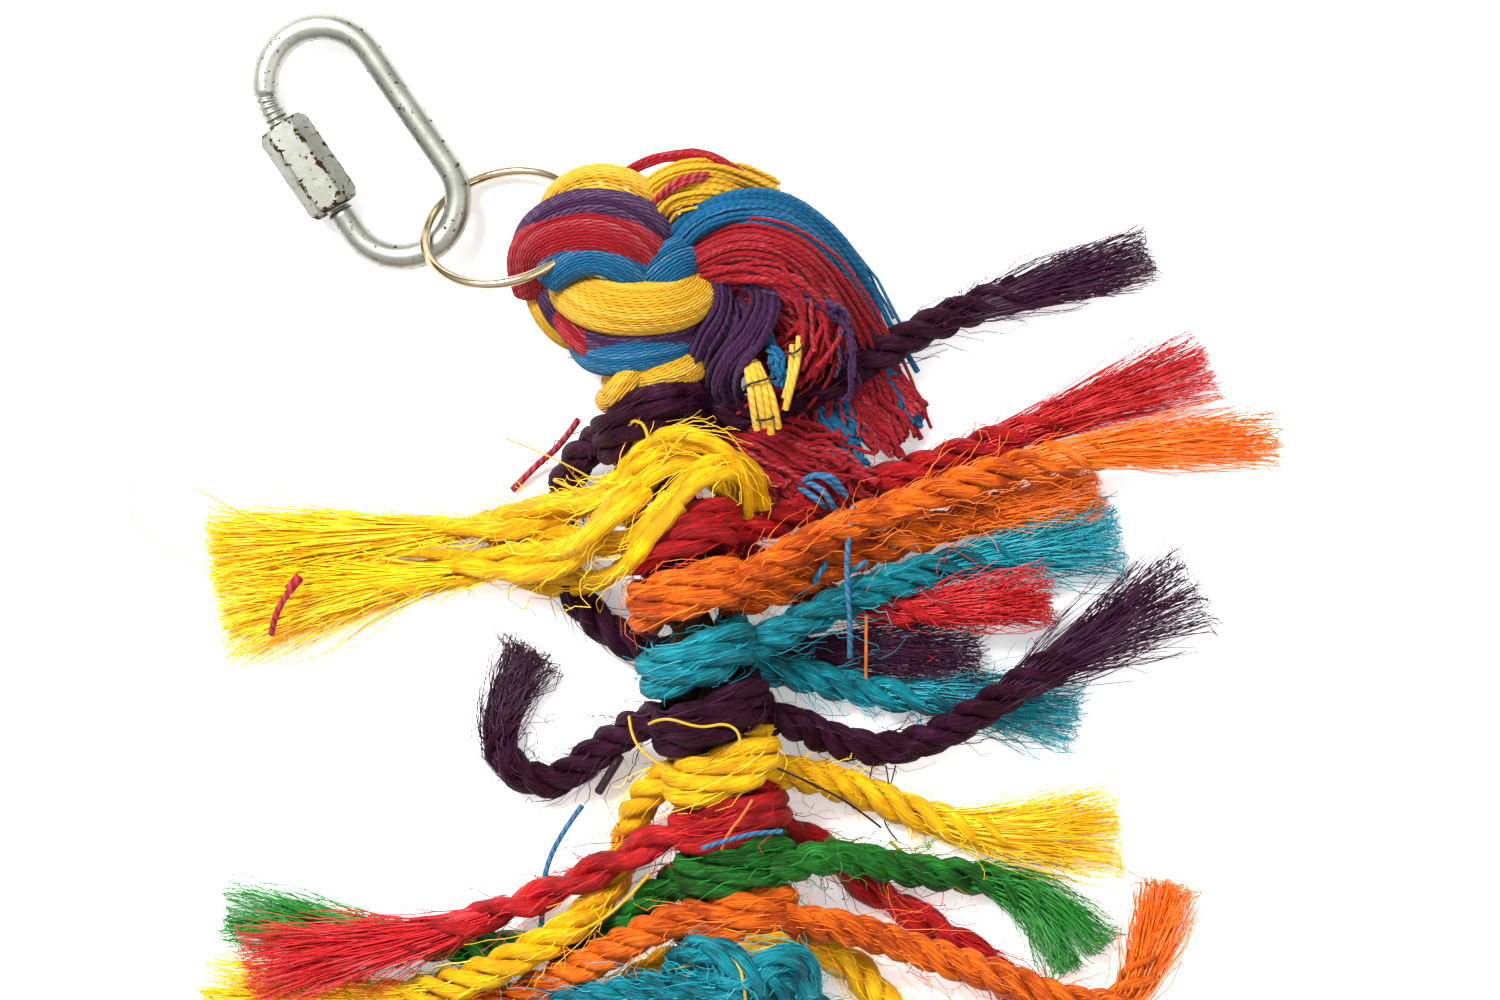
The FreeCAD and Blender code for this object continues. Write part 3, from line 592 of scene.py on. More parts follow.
def yarn_band_tree():
    """Fine yarns side by side round a flattened band that follows a line."""
    tree, given, output = new_tree("Yarn band", [
        ("Yarns", "Int", 30), ("Width", "Float", 0.008), ("Thickness", "Float", 0.005),
        ("Turn Length", "Float", 0.4), ("Yarn Radius", "Float", 0.00045),
        ("Wander", "Float", 0.2), ("Narrow", "Float", 0.25), ("Step", "Float", 0.0015),
        ("Sides", "Int", 5), ("Seed", "Float", 1.0), ("Material", "Material", None),
    ])
    line = node(tree, "GeometryNodeMeshToCurve", {"Mesh": given["Geometry"]}).outputs[0]
    even = node(
        tree, "GeometryNodeResampleCurve", {"Curve": line, "Length": given["Step"]}, mode="LENGTH"
    ).outputs[0]
    place = node(tree, "GeometryNodeSplineParameter")
    even = store(tree, even, "along", place.outputs["Length"])
    even = store(tree, even, "gone", place.outputs["Factor"])
    copies = node(
        tree, "GeometryNodeDuplicateElements",
        {"Geometry": even, "Amount": given["Yarns"]}, domain="SPLINE",
    )
    yarns = store(tree, copies.outputs[0], "strand", copies.outputs["Duplicate Index"])
    along = stored(tree, "along")
    yarn = stored(tree, "strand")
    axes = line_frame(tree, node(tree, "GeometryNodeInputTangent").outputs[0])
    own = calc(tree, "ADD", calc(tree, "MULTIPLY", yarn, 5.1), given["Seed"])
    drift = calc(tree, "SUBTRACT", wave_noise(tree, along, own, YARN_DRIFT), 0.5)
    drift = calc(tree, "MULTIPLY", drift, given["Wander"])
    share = calc(tree, "DIVIDE", calc(tree, "ADD", yarn, drift), given["Yarns"])
    turns = calc(tree, "DIVIDE", along, given["Turn Length"])
    angle = calc(tree, "MULTIPLY", calc(tree, "ADD", turns, share), math.tau)
    middle = calc(tree, "ABSOLUTE", calc(tree, "SUBTRACT", stored(tree, "gone"), 0.5))
    middle = calc(tree, "POWER", calc(tree, "MULTIPLY", middle, 2.0), 3.0)
    full = calc(tree, "SUBTRACT", 1.0, calc(tree, "MULTIPLY", middle, given["Narrow"]))
    swell = calc(tree, "SUBTRACT", wave_noise(tree, own, along, YARN_SWELL), 0.5)
    full = calc(tree, "MULTIPLY_ADD", swell, given["Wander"], full)
    wide = calc(tree, "MULTIPLY", calc(tree, "MULTIPLY", given["Width"], 0.5), full)
    high = calc(tree, "MULTIPLY", calc(tree, "MULTIPLY", given["Thickness"], 0.5), full)
    moved = node(
        tree, "GeometryNodeSetPosition",
        {"Geometry": yarns, "Offset": on_ellipse(tree, axes, angle, wide, high)},
    ).outputs[0]
    shade = random_share(tree, 0.0, 1.0, yarn, 3)
    moved = store(tree, moved, "shade", shade)
    mesh = node(
        tree, "GeometryNodeCurveToMesh",
        {"Curve": moved, "Profile Curve": round_profile(tree, given["Sides"]),
         "Scale": given["Yarn Radius"], "Fill Caps": True},
    ).outputs[0]
    mesh = lay_fibres(tree, mesh, BAND_YARN_TURN, given["Seed"])
    finish_tree(tree, output, mesh, given["Material"])
    return tree


def grown(name, line, tree, **inputs):
    """A mesh that a tree grows along a line, as a piece of its own."""
    thread = bpy.data.meshes.new(name)
    thread.from_pydata(line, [(n, n + 1) for n in range(len(line) - 1)], [])
    holder = bpy.data.objects.new(name, thread)
    bpy.context.scene.collection.objects.link(holder)
    modifier = holder.modifiers.new("grow", "NODES")
    modifier.node_group = tree
    wanted = {key.replace("_", " ").lower(): value for key, value in inputs.items()}
    for item in tree.interface.items_tree:
        if item.item_type == "SOCKET" and item.in_out == "INPUT" and item.name.lower() in wanted:
            modifier[item.identifier] = wanted.pop(item.name.lower())
    if wanted:
        raise ValueError(f"{tree.name} has no input {', '.join(wanted)}")
    graph = bpy.context.evaluated_depsgraph_get()
    mesh = bpy.data.meshes.new_from_object(holder.evaluated_get(graph), depsgraph=graph)
    bpy.data.objects.remove(holder)
    bpy.data.meshes.remove(thread)
    if not mesh.polygons:
        raise ValueError(f"nothing has grown for {name}")
    return mesh


def piece(name, meshes, body):
    """One object from one or more meshes, riding on a body of the toy."""
    made = bpy.data.objects.new(name, meshes[0])
    bpy.context.scene.collection.objects.link(made)
    if len(meshes) > 1:
        joined_mesh(made, meshes)
    made.data.name = name
    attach(made, body)
    return made


def joined_mesh(made, meshes):
    """Join meshes into the first, with their attributes and materials."""
    extras = [bpy.data.objects.new("extra", mesh) for mesh in meshes[1:]]
    for extra in extras:
        bpy.context.scene.collection.objects.link(extra)
    chosen = [made, *extras]
    with bpy.context.temp_override(
        active_object=made, object=made, selected_objects=chosen, selected_editable_objects=chosen
    ):
        bpy.ops.object.join()


def linear(code):
    """A colour of six hex digits, as the shader reads it."""
    parts = [int(code[n:n + 2], 16) / 255 for n in (0, 2, 4)]
    return tuple(p / 12.92 if p <= 0.04045 else ((p + 0.055) / 1.055) ** 2.4 for p in parts)


def new_material(name, **values):
    """A node material with one shader, and values for the shader's own sockets."""
    material = bpy.data.materials.new(name)
    material.use_nodes = True
    tree = material.node_tree
    tree.nodes.clear()
    shader = node(tree, "ShaderNodeBsdfPrincipled")
    for key, value in values.items():
        shader.inputs[key.replace("_", " ")].default_value = value
    node(tree, "ShaderNodeOutputMaterial", {0: shader.outputs[0]})
    return material, tree, shader


def ramp(tree, share, stops):
    """A colour for each share, blended between stops of (share, colour)."""
    made = node(tree, "ShaderNodeValToRGB", {0: share})
    elements = made.color_ramp.elements
    while len(elements) < len(stops):
        elements.new(0.5)
    for element, (place, colour) in zip(elements, stops):
        element.position = place
        element.color = (*colour[:3], 1.0)
    return made.outputs[0]


def grain(tree, place, scale, detail=3.0, roughness=0.6):
    """Fine noise over a place, from 0 to 1."""
    values = {"Vector": place, "Scale": scale, "Detail": detail, "Roughness": roughness}
    return node(tree, "ShaderNodeTexNoise", values).outputs[0]


def attribute(tree, name, output="Vector"):
    """What a mesh keeps under a name, for its material."""
    return node(tree, "ShaderNodeAttribute", attribute_name=name).outputs[output]


def bumped(tree, shader, depth, strength, distance):
    """Give a shader's surface some relief."""
    values = {"Strength": strength, "Distance": distance, "Height": depth}
    tree.links.new(node(tree, "ShaderNodeBump", values).outputs[0], shader.inputs["Normal"])


def dimmed(colour, share):
    """A colour times a share."""
    return tuple(part * share for part in colour[:3])


def deepened(colour, share):
    """The colour of a dye in painted shade and in its darker fibres, which turns warmer as it
    darkens.
    """
    return colour[0] * share ** 0.6, colour[1] * share, colour[2] * share


def lightened(colour, share):
    """A colour some way towards white."""
    return tuple(part + (1.0 - part) * share for part in colour[:3])


def sisal_material(name, colour, dark=0.25, light=0.18, shine=0.2, gloss=0.45, relief=1.0):
    """Dyed sisal: long fibres of slightly different shades, glossy along their tops, with painted
    shade in the grooves between the fibres and a painted highlight on their tops.
    """
    material, tree, shader = new_material(name, Roughness=gloss)
    shader.inputs["Specular IOR Level"].default_value = shine
    fibre = attribute(tree, "fibre")
    place = node(tree, "ShaderNodeTexCoord").outputs["Object"]
    streak = grain(tree, fibre, 3.6, 5.0, 0.75)
    fine = grain(tree, fibre, 15.0, 2.0)
    patch = grain(tree, place, 120.0, 2.0)
    tone = calc(tree, "MULTIPLY_ADD", fine, 0.45, calc(tree, "MULTIPLY", streak, 0.55))
    tone = calc(tree, "MULTIPLY_ADD", calc(tree, "SUBTRACT", patch, 0.5), 0.35, tone)
    shade = calc(tree, "SUBTRACT", attribute(tree, "shade", "Fac"), 0.5)
    tone = calc(tree, "MULTIPLY_ADD", shade, 0.16, tone)
    # The tone follows the fibres' relief: low streaks take painted shade and high ones a painted
    # highlight, over the fibres' own random tones.
    stops = [
        (0.36, deepened(colour, dark)), (0.45, deepened(colour, 0.55 + 0.45 * dark)),
        (0.53, tuple(colour[:3])), (0.66, lightened(colour, light)),
    ]
    tree.links.new(ramp(tree, tone, stops), shader.inputs["Base Color"])
    dull = calc(tree, "MULTIPLY_ADD", fine, 0.35, gloss - 0.15)
    tree.links.new(dull, shader.inputs["Roughness"])
    furrow = calc(tree, "MULTIPLY_ADD", fine, 0.5, streak)
    bumped(tree, shader, furrow, relief, 0.5 * MM)
    return material


def cotton_material(name, colour, dark=0.3, light=0.12):
    """Soft cotton yarn: matt, with its plies showing and a little fuzz, with painted shade between
    the plies and a painted highlight on their crests.
    """
    material, tree, shader = new_material(name, Roughness=0.88)
    shader.inputs["Specular IOR Level"].default_value = 0.12
    shader.inputs["Sheen Weight"].default_value = 0.06
    shader.inputs["Sheen Roughness"].default_value = 0.5
    around = attribute(tree, "ply")
    values = {"Vector": around, "Angle": attribute(tree, "turn", "Fac")}
    turned = node(tree, "ShaderNodeVectorRotate", values, rotation_type="Z_AXIS").outputs[0]
    straight = calc_vector(tree, "SUBTRACT", attribute(tree, "fibre"), around)
    fibre = calc_vector(tree, "ADD", straight, turned)
    place = node(tree, "ShaderNodeTexCoord").outputs["Object"]
    fuzz = grain(tree, place, 2600.0, 2.0)
    patch = grain(tree, place, 160.0, 2.0)
    streak = grain(tree, fibre, 2.4, 3.0)
    parts = node(tree, "ShaderNodeSeparateXYZ", {0: turned})
    plies = calc(tree, "ABSOLUTE", parts.outputs[0])
    tone = calc(tree, "MULTIPLY_ADD", plies, 0.2, calc(tree, "MULTIPLY", streak, 0.45))
    tone = calc(tree, "MULTIPLY_ADD", fuzz, 0.2, tone)
    tone = calc(tree, "MULTIPLY_ADD", patch, 0.15, tone)
    shade = calc(tree, "SUBTRACT", attribute(tree, "shade", "Fac"), 0.5)
    tone = calc(tree, "MULTIPLY_ADD", shade, 0.26, tone)
    # The tone follows the yarn's relief: the hollows between plies take painted shade and the
    # crests a painted highlight, over each yarn's own random tone.
    stops = [
        (0.2, deepened(colour, dark)), (0.42, deepened(colour, 0.7)), (0.58, tuple(colour[:3])),
        (0.85, lightened(colour, light)),
    ]
    tree.links.new(ramp(tree, tone, stops), shader.inputs["Base Color"])
    relief = calc(tree, "MULTIPLY_ADD", fuzz, 0.4, calc(tree, "ADD", plies, streak))
    bumped(tree, shader, relief, 0.7, 0.25 * MM)
    return material


def metal_material(name, colour, roughness, specks, speck_colour, speck_share):
    """Plated metal with fine scratches, stains and specks."""
    material, tree, shader = new_material(name, Metallic=1.0, Roughness=roughness)
    place = node(tree, "ShaderNodeTexCoord").outputs["Object"]
    stain = grain(tree, place, 70.0, 5.0, 0.7)
    speck = grain(tree, place, specks, 2.0, 0.7)
    edge_wear, speck_blur = 0.23, 0.03
    speck = calc(tree, "MULTIPLY_ADD", attribute(tree, "edge", "Fac"), edge_wear, speck)
    first = 1.0 - speck_share
    worn = ramp(tree, speck, [(first, (0.0,) * 3), (first + speck_blur, (1.0,) * 3)])
    base = ramp(tree, stain, [
        (0.3, dimmed(colour, 0.8)), (0.5, tuple(colour[:3])), (0.7, lightened(colour, 0.15)),
    ])
    mixed = node(tree, "ShaderNodeMix", data_type="RGBA")
    for slot, value in ((0, worn), (6, base), (7, (*speck_colour, 1.0))):
        plug(tree, mixed.inputs[slot], value)
    tree.links.new(mixed.outputs[2], shader.inputs["Base Color"])
    clean = calc(tree, "MULTIPLY_ADD", stain, 0.3, roughness - 0.15)
    dull = calc(tree, "MULTIPLY_ADD", worn, 0.35, clean)
    tree.links.new(dull, shader.inputs["Roughness"])
    bumped(tree, shader, calc(tree, "ADD", stain, speck), 0.12, 0.1 * MM)
    return material


def colour_property(label, code):
    """A colour that a user can change."""
    return bpy.props.FloatVectorProperty(
        name=label, description=f"{label} of the toy", subtype="COLOR", size=3,
        min=0.0, max=1.0, default=linear(code),
    )


def length_property(label, meaning, millimetres):
    """A length that a user can change."""
    return bpy.props.FloatProperty(
        name=label, description=meaning, unit="LENGTH", min=0.0, precision=5,
        default=millimetres * MM,
    )


class ToySizes(bpy.types.PropertyGroup):
    rope_diameter: length_property("Strip", "Diameter of a strip of twisted sisal", 6.2)
    core_diameter: length_property("Core", "Diameter of the rope that carries the strips", 8.0)
    turn_play: length_property("Knot play", "Between the core and a turn round it", 0.6)
    fibre_thickness: length_property("Fibre", "Radius of a loose sisal fibre", 0.17)
    yarn_radius: length_property("Yarn", "Radius of a cotton yarn at the head", 0.3)
    ring_radius: length_property("Ring", "To the middle of the ring's wire", 14.4)
    wire_diameter: length_property("Wire", "Diameter of the ring's wire", 1.8)
    link_length: length_property("Link length", "Outside, end to end", 50.5)
    link_width: length_property("Link width", "Outside, side to side", 25.5)
    link_rod: length_property("Link rod", "Diameter of the link's rod", 4.8)
    thread_diameter: length_property("Thread", "Diameter of the rod's thread", 4.2)
    nut_length: length_property("Nut length", "Length of the sleeve nut", 17.9)
    nut_flats: length_property("Nut flats", "Across the sleeve nut's flats", 8.8)
    brush_fibres: bpy.props.IntProperty(
        name="Brush fibres", description="Loose fibres in each brushed end", default=330, min=10
    )
    stray_fibres: bpy.props.IntProperty(
        name="Stray fibres", description="Fibres that stand off each tail", default=54, min=1
    )


class ToyColours(bpy.types.PropertyGroup):
    purple: colour_property("Purple sisal", "3a162f")
    yellow: colour_property("Yellow sisal", "ffcc0a")
    red: colour_property("Red sisal", "c2181d")
    orange: colour_property("Orange sisal", "f5780e")
    teal: colour_property("Teal sisal", "0594a4")
    green: colour_property("Green sisal", "1c8224")
    core: colour_property("Core sisal", "4a3513")
    cotton_yellow: colour_property("Yellow cotton", "c89a1c")
    cotton_blue: colour_property("Blue cotton", "0b567e")
    cotton_red: colour_property("Red cotton", "8c0a18")
    cotton_purple: colour_property("Purple cotton", "3a1840")
    cotton_black: colour_property("Black thread", "16100f")
    zinc: colour_property("Zinc plating", "999b90")
    nickel: colour_property("Nickel plating", "b7a486")
    floor: colour_property("Floor", "f6f5f6")


def material(name):
    """A finish by its name, made when it is first asked for."""
    ready = bpy.data.materials.get(name)
    if ready:
        return ready
    tint = colours()
    if name == "zinc":
        return metal_material(name, tint.zinc, 0.42, 900.0, linear("38312a"), 0.36)
    if name == "zinc_worn":
        return metal_material(name, dimmed(tint.zinc, 0.8), 0.6, 800.0, linear("4a3524"), 0.355)
    if name == "nickel":
        return metal_material(name, tint.nickel, 0.16, 500.0, linear("8a7a60"), 0.3)
    if name.startswith("cotton"):
        return cotton_material(name, getattr(tint, name))
    dye, _, loose = name.partition("_")
    colour = getattr(tint, dye)
    # Purple is nearly black, with hardly a shine and only a faint painted highlight. Yellow takes
    # less painted shade between its fibres than the other dyes.
    light, shine = (0.08, 0.08) if dye == "purple" else (0.13, 0.2)
    dark = 0.42 if dye == "yellow" else 0.14
    # Loose fibres take a lit copy of the dye, a tenth brighter and with little painted shade, to
    # brighten the shade that falls among the fibres of the brushed ends.
    if loose:
        return sisal_material(name, dimmed(colour, 1.1), 0.6, light, shine, relief=0.12)
    return sisal_material(name, colour, dark, light, shine)


def knot_lines(label):
    """The lines of a strip's knot: its own listed ones, or turns round the core."""
    if label in LAID_KNOTS:
        return [smooth_line([seen(*point) for point in route]) for route in LAID_KNOTS[label]]
    return [knot_line(STRIPS[label][0])]


def knot_line(distance, turns=1.75, slant=0.16):
    """A strip's way round the core: over the front, behind it and over the front again."""
    middle, down = core_place(distance)
    side, up = across(down)
    rope = sizes().rope_diameter
    reach = sizes().core_diameter / 2 + sizes().turn_play + rope / 2
    corner = reach / math.cos(math.pi / TURN_CORNERS)
    count = round(turns * TURN_CORNERS)
    points = []
    for number in range(count + 1):
        angle = math.radians(-35) + math.tau * number / TURN_CORNERS
        share = number / count
        wide = corner * (1.14 if math.sin(angle) > 0 else 1.0)
        lift = corner * (1.02 + 0.1 * share)
        along = (share - 0.5) * rope * 0.86 - math.cos(angle) * rope * slant
        points.append(
            middle + side * math.cos(angle) * wide + up * math.sin(angle) * lift + down * along
        )
    return smooth_line(points)


def rope_mesh(name, line, tree, colour, strands, turn, seed, thick=1.0, opened=0.0):
    """Twisted strands of one colour along a line."""
    offset = STRAND_OFFSETS[strands] * MM * thick
    radius = STRAND_RADII[strands] * MM * thick
    return grown(
        name, line, tree, Strands=strands, Turn_Length=turn * MM, Strand_Offset=offset,
        Strand_Radius=radius, Seed=float(seed), Open=opened, Material=material(colour),
    )


def make_strip(label, seed, trees):
    """A strip: its knot round the core, two tails, and their brushed ends and strays."""
    colour, strands, turn, tails = STRIPS[label][1:]
    twisted, loose = trees
    root = sizes().rope_diameter * 0.42
    laid_out = label in LAID_KNOTS
    thick = LAID_KNOT_SHARE if laid_out else 1.0
    strays = 60
    meshes = []
    for number, wound in enumerate(knot_lines(label)):
        meshes.append(rope_mesh(
            label, wound, twisted, colour, strands, turn * 1.5, seed + number,
            thick=thick, opened=float(laid_out),
        ))
        meshes.append(grown(
            label, wound, loose, Fibres=strays, Locks=strays, Last=0.9, Shortest=0.05,
            Longest=0.2, Root=root, Root_Up=root, Inner=0.9, Own_Share=0.0,
            Spread_Across=3 * MM, Spread_Up=3 * MM, Frizz=5 * MM,
            Thickness=sizes().fibre_thickness * 0.8, Seed=seed * 7 + number,
            Material=material(f"{colour}_loose"),
        ))
    knot = piece(f"{label}_knot", meshes, "ropes")
    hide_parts(label)
    for number, route in enumerate(tails, start=1):
        make_tail(label, number, route, seed * 10 + number, trees)


def make_tail(label, number, route, seed, trees):
    """One tail of a strip, with its brushed end and its strays on it."""
    colour, strands, turn = STRIPS[label][1:4]
    twisted, loose = trees
    finish = material(f"{colour}_loose")
    points = laid(route)
    line = smooth_line(points)
    whole = line_length(line)
    end = max(whole - (points[-1] - points[-2]).length * BRUSHED_SHARE, SHORTEST_TUBE)
    tube = cut(line, 0.0, end)
    fibre = sizes().fibre_thickness
    strand_mesh = rope_mesh(label, tube, twisted, colour, strands, turn, seed, opened=1.0)
    tail = piece(f"{label}_tail_{number}", [strand_mesh], "ropes")
    start = max(0.0, end - BRUSH_GRIP)
    fringe = cut(line, start, whole * 0.9999)
    share = (end - start) / (whole - start)
    wide, frizz = BRUSHES.get(label, PLAIN_BRUSHES)[number - 1]
    fibres = round(sizes().brush_fibres * BRUSH_SHARES.get(label, 1.0))
    strays, curls = sizes().stray_fibres, 7
    skin = {"Root": 2.7 * MM, "Inner": 0.9, "Own_Share": 0.0, "Material": finish}
    meshes = [
        # The brushed end
        grown(
            label, fringe, loose, Fibres=fibres, Locks=fibres // 16, Seed=seed,
            First=0.0, Last=share, Shortest=0.5, Longest=0.97, Root=2.9 * MM,
            Spread_Across=wide * MM, Spread_Up=2.0 * MM, Frizz=frizz * MM, Thickness=fibre,
            Fan=1.25, Ceiling=(points[-1].z + 8 * MM), Material=finish,
        ),
        # Short strays all along the tail
        grown(
            label, tube, loose, Fibres=strays, Locks=strays, Last=0.9, Shortest=0.06,
            Longest=0.22, Spread_Across=4 * MM, Spread_Up=2 * MM, Frizz=6 * MM,
            Thickness=fibre * 0.75, Seed=seed + 500, **skin,
        ),
        # A few long ones that curl away from it
        grown(
            label, line[:-1], loose, Fibres=curls, Locks=curls, Last=0.7, Shortest=0.15,
            Longest=0.35, Spread_Across=9 * MM, Spread_Up=3 * MM, Frizz=16 * MM, Waves=3.5,
            Points=24, Thickness=fibre * 0.7, Seed=seed + 900, Ceiling=28 * MM, **skin,
        ),
    ]
    brush = piece(f"{label}_brush_{number}", meshes, "ropes")
    for made in (tail, brush):
        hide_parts(label)


# The head's bands of yarn: colour, number of yarns, width and thickness in millimetres, and
# points of (column, row, height) over the photograph.
HEAD_BANDS = [
    ("cotton_yellow", 39, 8.0, 6.0,
     [(552, 236, 14), (560, 206, 20), (588, 190, 23.5), (618, 190, 24.5), (650, 208, 22),
      (668, 236, 16)]),
    ("cotton_purple", 36, 7.0, 6.0,
     [(524, 268, 13), (530, 238, 18), (560, 216, 23.5), (605, 206, 26), (642, 220, 25),
      (664, 244, 20), (672, 268, 14)]),
    ("cotton_red", 51, 9.5, 7.0,
     [(534, 290, 13), (528, 258, 18), (556, 238, 23.5), (600, 230, 26.5), (634, 244, 25.5),
      (654, 268, 21), (656, 296, 15)]),
    ("cotton_blue", 39, 7.0, 5.5,
     [(548, 281, 21), (564, 263, 23.5), (596, 254, 25), (622, 262, 25), (644, 282, 22),
      (676, 300, 17)]),
    ("cotton_blue", 39, 8.0, 6.0,
     [(634, 300, 17), (652, 280, 23), (672, 262, 23.5), (692, 254, 20), (706, 262, 14)]),
    ("cotton_yellow", 54, 9.0, 7.0,
     [(706, 252, 12), (708, 282, 18), (684, 304, 23.5), (640, 312, 26), (600, 308, 24.5),
      (574, 294, 19), (562, 280, 13)]),
    ("cotton_purple", 39, 6.5, 5.5,
     [(708, 300, 13), (694, 326, 18), (660, 336, 22), (620, 340, 22), (590, 334, 18),
      (572, 322, 12)]),
    ("cotton_red", 36, 7.5, 5.5,
     [(626, 346, 15), (598, 342, 18.5), (578, 326, 17.5), (566, 304, 13)]),
    ("cotton_blue", 42, 7.0, 6.0,
     [(704, 326, 10), (686, 342, 18), (652, 351, 22.5), (616, 357, 22), (590, 352, 15),
      (582, 340, 8)]),
    ("cotton_yellow", 39, 6.5, 6.0,
     [(708, 344, 12), (692, 366, 18.5), (662, 379, 21.5), (632, 386, 20), (614, 380, 13)]),
    ("cotton_yellow", 24, 4.6, 4.6,
     [(636, 374, 21), (624, 386, 23), (614, 402, 20), (606, 400, 12)]),
    ("cotton_yellow", 27, 4.6, 5.0,
     [(532, 268, 9), (538, 296, 10.5), (550, 320, 10.5), (570, 338, 9), (590, 342, 7)]),
    ("cotton_purple", 27, 5.5, 5.0,
     [(542, 270, 12), (552, 294, 13.5), (562, 316, 13.5), (580, 330, 12)]),
    ("cotton_purple", 60, 15.0, 10.0,
     [(640, 250, 10), (664, 280, 13), (690, 310, 13.5), (700, 350, 12), (690, 380, 11)]),
]

# The fringe's locks: colour, yarns, half widths at the root across and up, the spread towards
# the free end across and up, frizz, the shares of the route where yarns end, and the route.
FRINGE_LOCKS = [
    ("cotton_red", 9, 1.2, 0.8, 0.5, 0.4, 1.5, (0.8, 0.98),
     [(615, 180, 14), (640, 164, 19), (684, 155, 21.5), (722, 161, 21), (750, 186, 18)]),
    ("cotton_yellow", 84, 5.0, 2.4, 1.6, 0.4, 1.5, (0.92, 1.0),
     [(640, 246, 15), (650, 204, 20.5), (688, 186, 22.5), (726, 188, 20), (768, 210, 14)]),
    ("cotton_blue", 50, 3.4, 2.0, 2.4, 0.4, 2.0, (0.62, 1.0),
     [(664, 262, 16), (686, 226, 22), (730, 208, 23), (776, 208, 20), (816, 232, 15.5),
      (856, 286, 10), (884, 340, 5), (904, 384, 3.5)]),
    ("cotton_blue", 24, 2.4, 1.6, 2.0, 0.4, 1.5, (0.8, 1.0),
     [(690, 240, 19), (740, 220, 23), (790, 226, 21), (830, 262, 15), (862, 318, 8),
      (896, 388, 3), (908, 416, 2.5)]),
    ("cotton_red", 84, 4.6, 2.8, 3.4, 0.8, 3.5, (0.8, 1.0),
     [(680, 268, 16), (722, 240, 22.5), (778, 244, 23), (822, 276, 17.5), (852, 326, 9),
      (880, 388, 4), (898, 444, 3)]),
    ("cotton_red", 70, 3.6, 2.6, 4.4, 1.0, 8.0, (0.6, 1.0),
     [(690, 280, 16), (744, 264, 22), (796, 286, 21), (818, 326, 17), (796, 366, 15),
      (766, 392, 12), (744, 412, 9)]),
    ("cotton_red", 60, 3.4, 2.4, 4.4, 1.0, 8.0, (0.6, 1.0),
     [(720, 290, 14), (776, 296, 19), (820, 322, 14), (836, 366, 5), (832, 420, 3.5),
      (824, 464, 4), (814, 500, 4.5)]),
    ("cotton_red", 60, 4.5, 3.0, 4.4, 1.0, 5.0, (0.8, 1.0),
     [(690, 300, 9), (748, 322, 10), (786, 352, 8), (806, 392, 5), (820, 430, 3.5)]),
    ("cotton_purple", 46, 3.0, 2.2, 1.6, 0.6, 2.5, (0.85, 1.0),
     [(694, 262, 15), (716, 274, 18.5), (722, 306, 18.5), (700, 340, 18), (688, 376, 14),
      (704, 404, 9)]),
    ("cotton_purple", 46, 3.0, 2.2, 1.8, 0.6, 2.5, (0.85, 1.0),
     [(700, 256, 16), (744, 268, 20), (768, 298, 20), (752, 334, 19), (724, 364, 17),
      (716, 396, 12), (736, 420, 8)]),
    ("cotton_purple", 40, 2.8, 2.0, 1.6, 0.6, 3.0, (0.85, 1.0),
     [(722, 284, 15), (742, 306, 17.5), (736, 340, 17), (712, 368, 15), (700, 398, 10)]),
    ("cotton_purple", 8, 0.8, 0.8, 2.6, 1.0, 8.0, (0.7, 1.0),
     [(740, 290, 20), (790, 298, 22), (826, 302, 20), (848, 330, 17), (850, 370, 16),
      (844, 400, 14)]),
    ("cotton_blue", 9, 1.0, 0.8, 1.6, 0.4, 5.0, (0.7, 1.0),
     [(764, 330, 15), (774, 348, 18.5), (782, 364, 18.5), (786, 384, 18)]),
    ("cotton_blue", 34, 2.4, 1.2, 3.4, 0.6, 5.0, (0.7, 1.0),
     [(800, 340, 6), (818, 376, 5), (840, 410, 5.5), (860, 450, 5)]),
    ("cotton_blue", 22, 2.0, 1.0, 3.0, 0.4, 4.0, (0.75, 1.0),
     [(846, 330, 6), (874, 356, 5.5), (898, 386, 5), (920, 418, 4)]),
    ("cotton_red", 44, 3.2, 1.4, 3.0, 0.6, 4.0, (0.8, 1.0),
     [(826, 340, 5), (852, 378, 5), (878, 414, 6), (902, 450, 4.5)]),
    ("cotton_red", 26, 1.8, 1.2, 1.6, 0.4, 3.0, (0.85, 1.0),
     [(862, 330, 4), (888, 362, 5), (908, 392, 5.5), (926, 416, 4)]),
    ("cotton_red", 80, 4.4, 2.6, 6.0, 1.2, 7.0, (0.6, 1.0),
     [(690, 412, 6), (740, 426, 9.5), (790, 446, 10), (836, 470, 7.5), (866, 498, 5)]),
    ("cotton_red", 60, 4.0, 2.6, 5.0, 1.2, 7.0, (0.6, 1.0),
     [(720, 452, 6), (760, 468, 8.5), (806, 486, 8), (846, 510, 5)]),
    ("cotton_blue", 26, 2.0, 1.2, 2.6, 0.5, 4.0, (0.7, 1.0),
     [(812, 400, 6), (828, 426, 7), (842, 446, 7), (852, 472, 5)]),
    ("cotton_yellow", 8, 0.8, 0.6, 1.0, 0.3, 2.0, (0.9, 1.0),
     [(818, 408, 6), (840, 430, 7.5), (850, 456, 6.5), (856, 482, 4.5)]),
]

